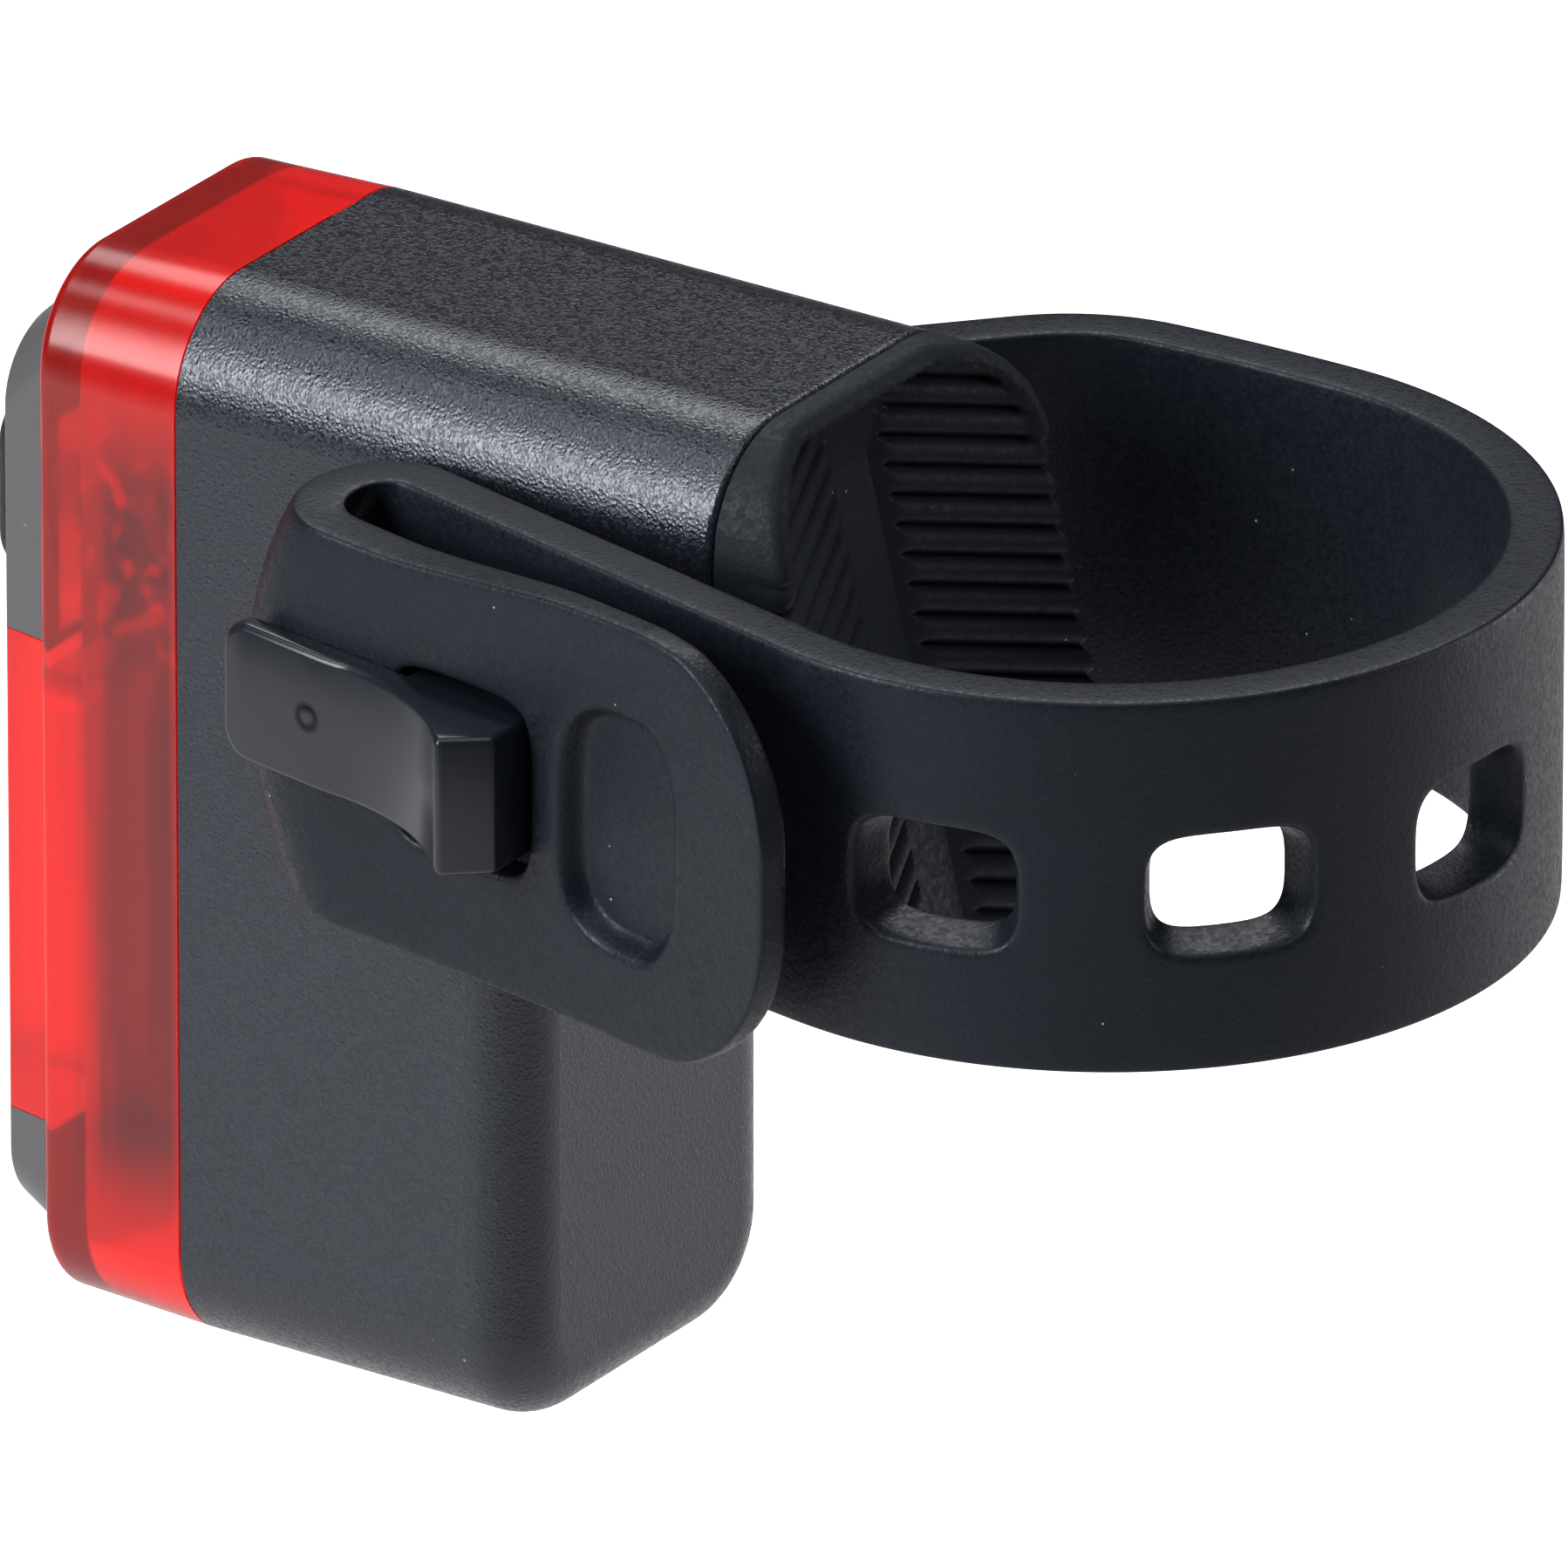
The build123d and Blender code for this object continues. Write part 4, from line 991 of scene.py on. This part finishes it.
def rib_relief(level):
    """How far a point lies in the notch between two ribs."""
    phase = (rib_top - level) / RIB_PITCH
    if phase < -0.5:
        return 0.0
    offset = abs(phase - round(phase))
    deep = max(0.0, 1 - offset / NOTCH_SHARE)
    land = (1 - 2 * offset) ** 2
    return NOTCH_DEPTH * deep + LAND_ROUND * land


def pad_depth(x, z, level):
    """The cradle's surface along Y, with its channel, wings, ribs, rim and rounded outer edge."""
    across = abs(x)
    wing = (NEAR_SLOPE if x > 0 else FAR_SLOPE) * max(0.0, across - CHANNEL_HALF)
    channel = CHANNEL_DEPTH * held((CHANNEL_HALF - across) / CHANNEL_WALL)
    surface = -z * tan(PAD_TILT) + wing
    high, low = pad_reach(x)
    edge = min(half_width - across, high - z, z - low)
    corner_x, corner_z = half_width - BLOCK_CORNER, block_top - BLOCK_CORNER
    if across > corner_x and z > corner_z:
        edge = BLOCK_CORNER - hypot(across - corner_x, z - corner_z)
    rim = held((z - corner_z) / RIM_WIDTH + 1)
    inward = 1 - rim * held((RIM_WIDTH - edge) / RIM_FADE)
    fall = 0.0
    if edge < PAD_EDGE:
        fall = PAD_EDGE - (PAD_EDGE ** 2 - (PAD_EDGE - max(0.0, edge)) ** 2) ** 0.5
    ribbed = held((across - CHANNEL_HALF + CHANNEL_WALL) / CHANNEL_WALL)
    relief = rib_relief(level) * ribbed
    recessed = max(surface - max(channel, relief), pad_front + FLOOR_HEIGHT)
    raised = max(surface + RIM_PROUD, pad_front + RIM_HEIGHT)
    return inward * recessed + (1 - inward) * raised - fall


def build_pad():
    """The rubber cradle: two ribbed wings with a channel between, on the upper block's outline."""
    span = [0.0, CHANNEL_HALF - CHANNEL_WALL, CHANNEL_HALF - CHANNEL_WALL / 2, CHANNEL_HALF]
    columns = set(cage_lines([-x for x in span] + span, -half_width, half_width, PAD_STEP))
    for step in range(PAD_EDGE_STEPS):
        place = half_width - PAD_EDGE + PAD_EDGE * step / PAD_EDGE_STEPS
        columns |= {-place, place}
    columns = sorted(columns)
    levels = [block_top + half_width * tan(RIB_DROP)]
    number = -RIBS_ABOVE
    while levels[-1] > block_bottom - RIB_PITCH:
        for phase in RIB_PHASES:
            level = rib_top - (number + phase) * RIB_PITCH
            if level < levels[-1]:
                levels.append(level)
        number += 1
    deselect_all()
    bpy.ops.mesh.primitive_grid_add(
        x_subdivisions=len(columns) - 1, y_subdivisions=len(levels) - 1,
        size=2.0, rotation=(pi / 2, 0, 0),
    )
    pad = bpy.context.object
    pad.name = "cradle_pad"
    bpy.ops.object.transform_apply(location=True, rotation=True, scale=True)
    mesh = pad.data
    for vertex in mesh.vertices:
        x = columns[round((vertex.co.x + 1) / 2 * (len(columns) - 1))]
        level = levels[round((1 - vertex.co.z) / 2 * (len(levels) - 1))]
        high, low = pad_reach(x)
        z = held(level - abs(x) * tan(RIB_DROP), low, high)
        vertex.co = (x, pad_depth(x, z, z + abs(x) * tan(RIB_DROP)), z)
    edit_all(pad)
    bpy.ops.mesh.remove_doubles(threshold=PAD_MERGE)
    bpy.ops.mesh.dissolve_degenerate(threshold=PAD_MERGE)
    bpy.ops.mesh.select_all(action="SELECT")
    bpy.ops.mesh.region_to_loop()
    bpy.ops.mesh.extrude_edges_move(TRANSFORM_OT_translate={"value": (0, 0, 0)})
    bpy.ops.transform.resize(
        value=(1, 0, 1), center_override=(0, pad_front, 0), orient_type="GLOBAL"
    )
    bpy.ops.mesh.edge_face_add()
    bpy.ops.mesh.select_all(action="SELECT")
    bpy.ops.mesh.normals_make_consistent(inside=False)
    bpy.ops.object.mode_set(mode="OBJECT")
    bpy.ops.object.shade_smooth_by_angle(angle=PAD_SMOOTH_ANGLE)
    dress(pad, "pad_rubber")
    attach(pad, "light")
    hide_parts("seatpost_pad")


def refined_copy(node, name, width, finish_name):
    """A copy of a CAD node, its triangles merged and its edges softened, that stands for it."""
    piece = frame["nodes"][node].copy()
    piece.data = frame["nodes"][node].data.copy()
    piece.name = name
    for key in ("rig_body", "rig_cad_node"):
        if key in piece:
            del piece[key]
    bpy.context.scene.collection.objects.link(piece)
    piece.parent = None
    edit_all(piece)
    bpy.ops.mesh.remove_doubles(threshold=COPY_MERGE)
    bpy.ops.mesh.dissolve_limited(angle_limit=COPY_FLAT_ANGLE)
    bpy.ops.object.mode_set(mode="OBJECT")
    apply_modifier(
        piece, "BEVEL", "Soft edges", width=width, segments=COPY_EDGE_SEGMENTS,
        limit_method="ANGLE", angle_limit=COPY_EDGE_ANGLE, use_clamp_overlap=True,
    )
    bpy.ops.object.shade_smooth_by_angle(angle=COPY_SMOOTH_ANGLE)
    dress(piece, finish_name)
    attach(piece, frame["nodes"][node]["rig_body"])
    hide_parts(node)


def hook_outline():
    """The hook in plan, its ramp hollowed along a parabola from the ridge to the foot."""
    ridge, foot = Vector(HOOK_RIDGE), Vector(HOOK_RAMP_FOOT)
    hollow = (foot - ridge).orthogonal().normalized() * HOOK_RAMP_SAG
    outline = [(0, HOOK_FRONT), (0, HOOK_BACK), (HOOK_BACK_REACH, HOOK_BACK)]
    for step in range(HOOK_RAMP_STEPS + 1):
        share = step / HOOK_RAMP_STEPS
        outline.append(tuple(ridge.lerp(foot, share) - hollow * 4 * share * (1 - share)))
    return outline + [HOOK_TIP, (HOOK_TIP_UNDER, HOOK_TIP[1]), (HOOK_THROAT, HOOK_FRONT)]


def build_hook():
    """The hook: its outline extruded upright, with a rounded tip, soft edges and its spigot."""
    outline = hook_outline()
    deselect_all()
    bpy.ops.mesh.primitive_circle_add(vertices=len(outline), fill_type="NGON")
    hook = bpy.context.object
    hook.name = "hook"
    mesh = hook.data
    low = HOOK_LIFT - HOOK_HEIGHT / 2
    for vertex, (reach, depth) in zip(mesh.vertices, outline):
        vertex.co = (half_width + reach, seam_y + depth, low)
    bpy.ops.object.mode_set(mode="EDIT")
    bpy.ops.mesh.select_all(action="SELECT")
    bpy.ops.mesh.extrude_region_move(TRANSFORM_OT_translate={"value": (0, 0, HOOK_HEIGHT)})
    bpy.ops.mesh.select_all(action="SELECT")
    bpy.ops.mesh.normals_make_consistent(inside=False)
    bpy.ops.mesh.select_mode(type="EDGE")
    bpy.ops.mesh.select_all(action="DESELECT")
    bpy.ops.object.mode_set(mode="OBJECT")
    tip_y = seam_y + HOOK_TIP[1]
    for edge in mesh.edges:
        first, second = (mesh.vertices[index].co for index in edge.vertices)
        level = abs(first.z - second.z) < SAME_PLACE
        at_tip = abs(first.y - tip_y) < SAME_PLACE and abs(second.y - tip_y) < SAME_PLACE
        edge.select = level and at_tip
    bpy.ops.object.mode_set(mode="EDIT")
    bpy.ops.mesh.bevel(offset=HOOK_CORNER, segments=HOOK_CORNER_SEGMENTS, affect="EDGES")
    bpy.ops.object.mode_set(mode="OBJECT")
    apply_modifier(
        hook, "BEVEL", "Edges", width=HOOK_EDGE, segments=HOOK_EDGE_SEGMENTS,
        limit_method="ANGLE", angle_limit=HOOK_EDGE_ANGLE,
    )
    for vertex in mesh.vertices:
        vertex.co.z += HOOK_TILT * (seam_y + HOOK_RIDGE[1] - vertex.co.y)
    deselect_all()
    bpy.ops.mesh.primitive_cylinder_add(
        vertices=SPIGOT_SIDES, radius=SPIGOT_RADIUS, depth=WALL, rotation=(0, pi / 2, 0),
        location=(half_width - WALL / 2, seam_y + (HOOK_FRONT + HOOK_BACK) / 2, 0),
    )
    bpy.ops.object.transform_apply(location=True, rotation=True, scale=True)
    hook.select_set(True)
    bpy.context.view_layer.objects.active = hook
    bpy.ops.object.join()
    bpy.ops.object.shade_smooth_by_angle(angle=HOOK_SMOOTH_ANGLE)
    dress(hook, "hook_plastic")
    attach(hook, "light")
    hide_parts("strap_hook")


def add_facing(name, data, azimuth, elevation, distance):
    """A camera or a lamp in the scene that faces the object from an azimuth and an elevation."""
    thing = bpy.data.objects.new(name, data)
    bpy.context.scene.collection.objects.link(thing)
    turn, lift = radians(azimuth), radians(elevation)
    back = Vector((sin(turn) * cos(lift), -cos(turn) * cos(lift), sin(lift)))
    thing.location = VIEW_CENTRE + back * distance
    thing.rotation_euler = (-back).to_track_quat("-Z", "Y").to_euler()
    return thing


def build_camera():
    """The camera of the photograph, so far off that its view is nearly parallel."""
    data = bpy.data.cameras.new("photo_camera")
    data.lens = CAMERA_LENS
    data.sensor_width = SENSOR
    distance = PHOTO_PIXELS / PIXELS_PER_METRE * CAMERA_LENS / SENSOR
    data.clip_start, data.clip_end = (distance * share for share in CAMERA_RANGE)
    camera = add_facing("photo_camera", data, CAMERA_AZIMUTH, CAMERA_ELEVATION, distance)
    bpy.context.scene.camera = camera


def area_light(name, azimuth, elevation, distance, size, power):
    """A soft rectangular light on the object."""
    data = bpy.data.lights.new(name, "AREA")
    data.shape = "RECTANGLE"
    data.size, data.size_y = size
    data.energy = power
    add_facing(name, data, azimuth, elevation, distance)


def build_floor():
    """A pale floor that shows white to the camera and through the lens."""
    deselect_all()
    bpy.ops.mesh.primitive_circle_add(
        vertices=FLOOR_SIDES, radius=FLOOR_RADIUS, fill_type="NGON",
        location=(0, 0, cad_low.z - FLOOR_DROP),
    )
    floor = bpy.context.object
    floor.name = "floor"
    material, tree, shader = start_material("floor_paper")[:3]
    shader.inputs["Base Color"].default_value = FLOOR_COLOUR
    shader.inputs["Roughness"].default_value = FLOOR_ROUGHNESS
    shader.inputs["Emission Color"].default_value = WHITE
    seen = tree.nodes.new("ShaderNodeLightPath").outputs
    shown = math_node(tree, "MAXIMUM", seen["Is Camera Ray"], seen["Is Transmission Ray"])
    glow = math_node(tree, "MULTIPLY", shown, FLOOR_GLOW)
    tree.links.new(glow, shader.inputs["Emission Strength"])
    floor.data.materials.append(material)


def build_world():
    """The world, white to the camera and dim to all else."""
    world = bpy.data.worlds.new("studio")
    bpy.context.scene.world = world
    world.use_nodes = True
    tree = world.node_tree
    sky = tree.nodes["Background"]
    seen = tree.nodes.new("ShaderNodeLightPath").outputs
    strength = math_node(tree, "MAXIMUM", seen["Is Camera Ray"], WORLD_LEVEL)
    tree.links.new(strength, sky.inputs["Strength"])
    sky.inputs["Color"].default_value = WHITE


build_strap()
build_pad()
build_hook()
refined_copy("power_button", "button_cap", BUTTON_EDGE, "button_rubber")
refined_copy("port_cover", "port_flap", COVER_EDGE, "pad_rubber")
refined_copy("lens_gasket", "lens_seal", SEAL_EDGE, "pad_rubber")
build_camera()
build_floor()
build_world()
for lamp in LAMPS:
    area_light(*lamp)

bpy.context.scene.view_settings.view_transform = "Standard"
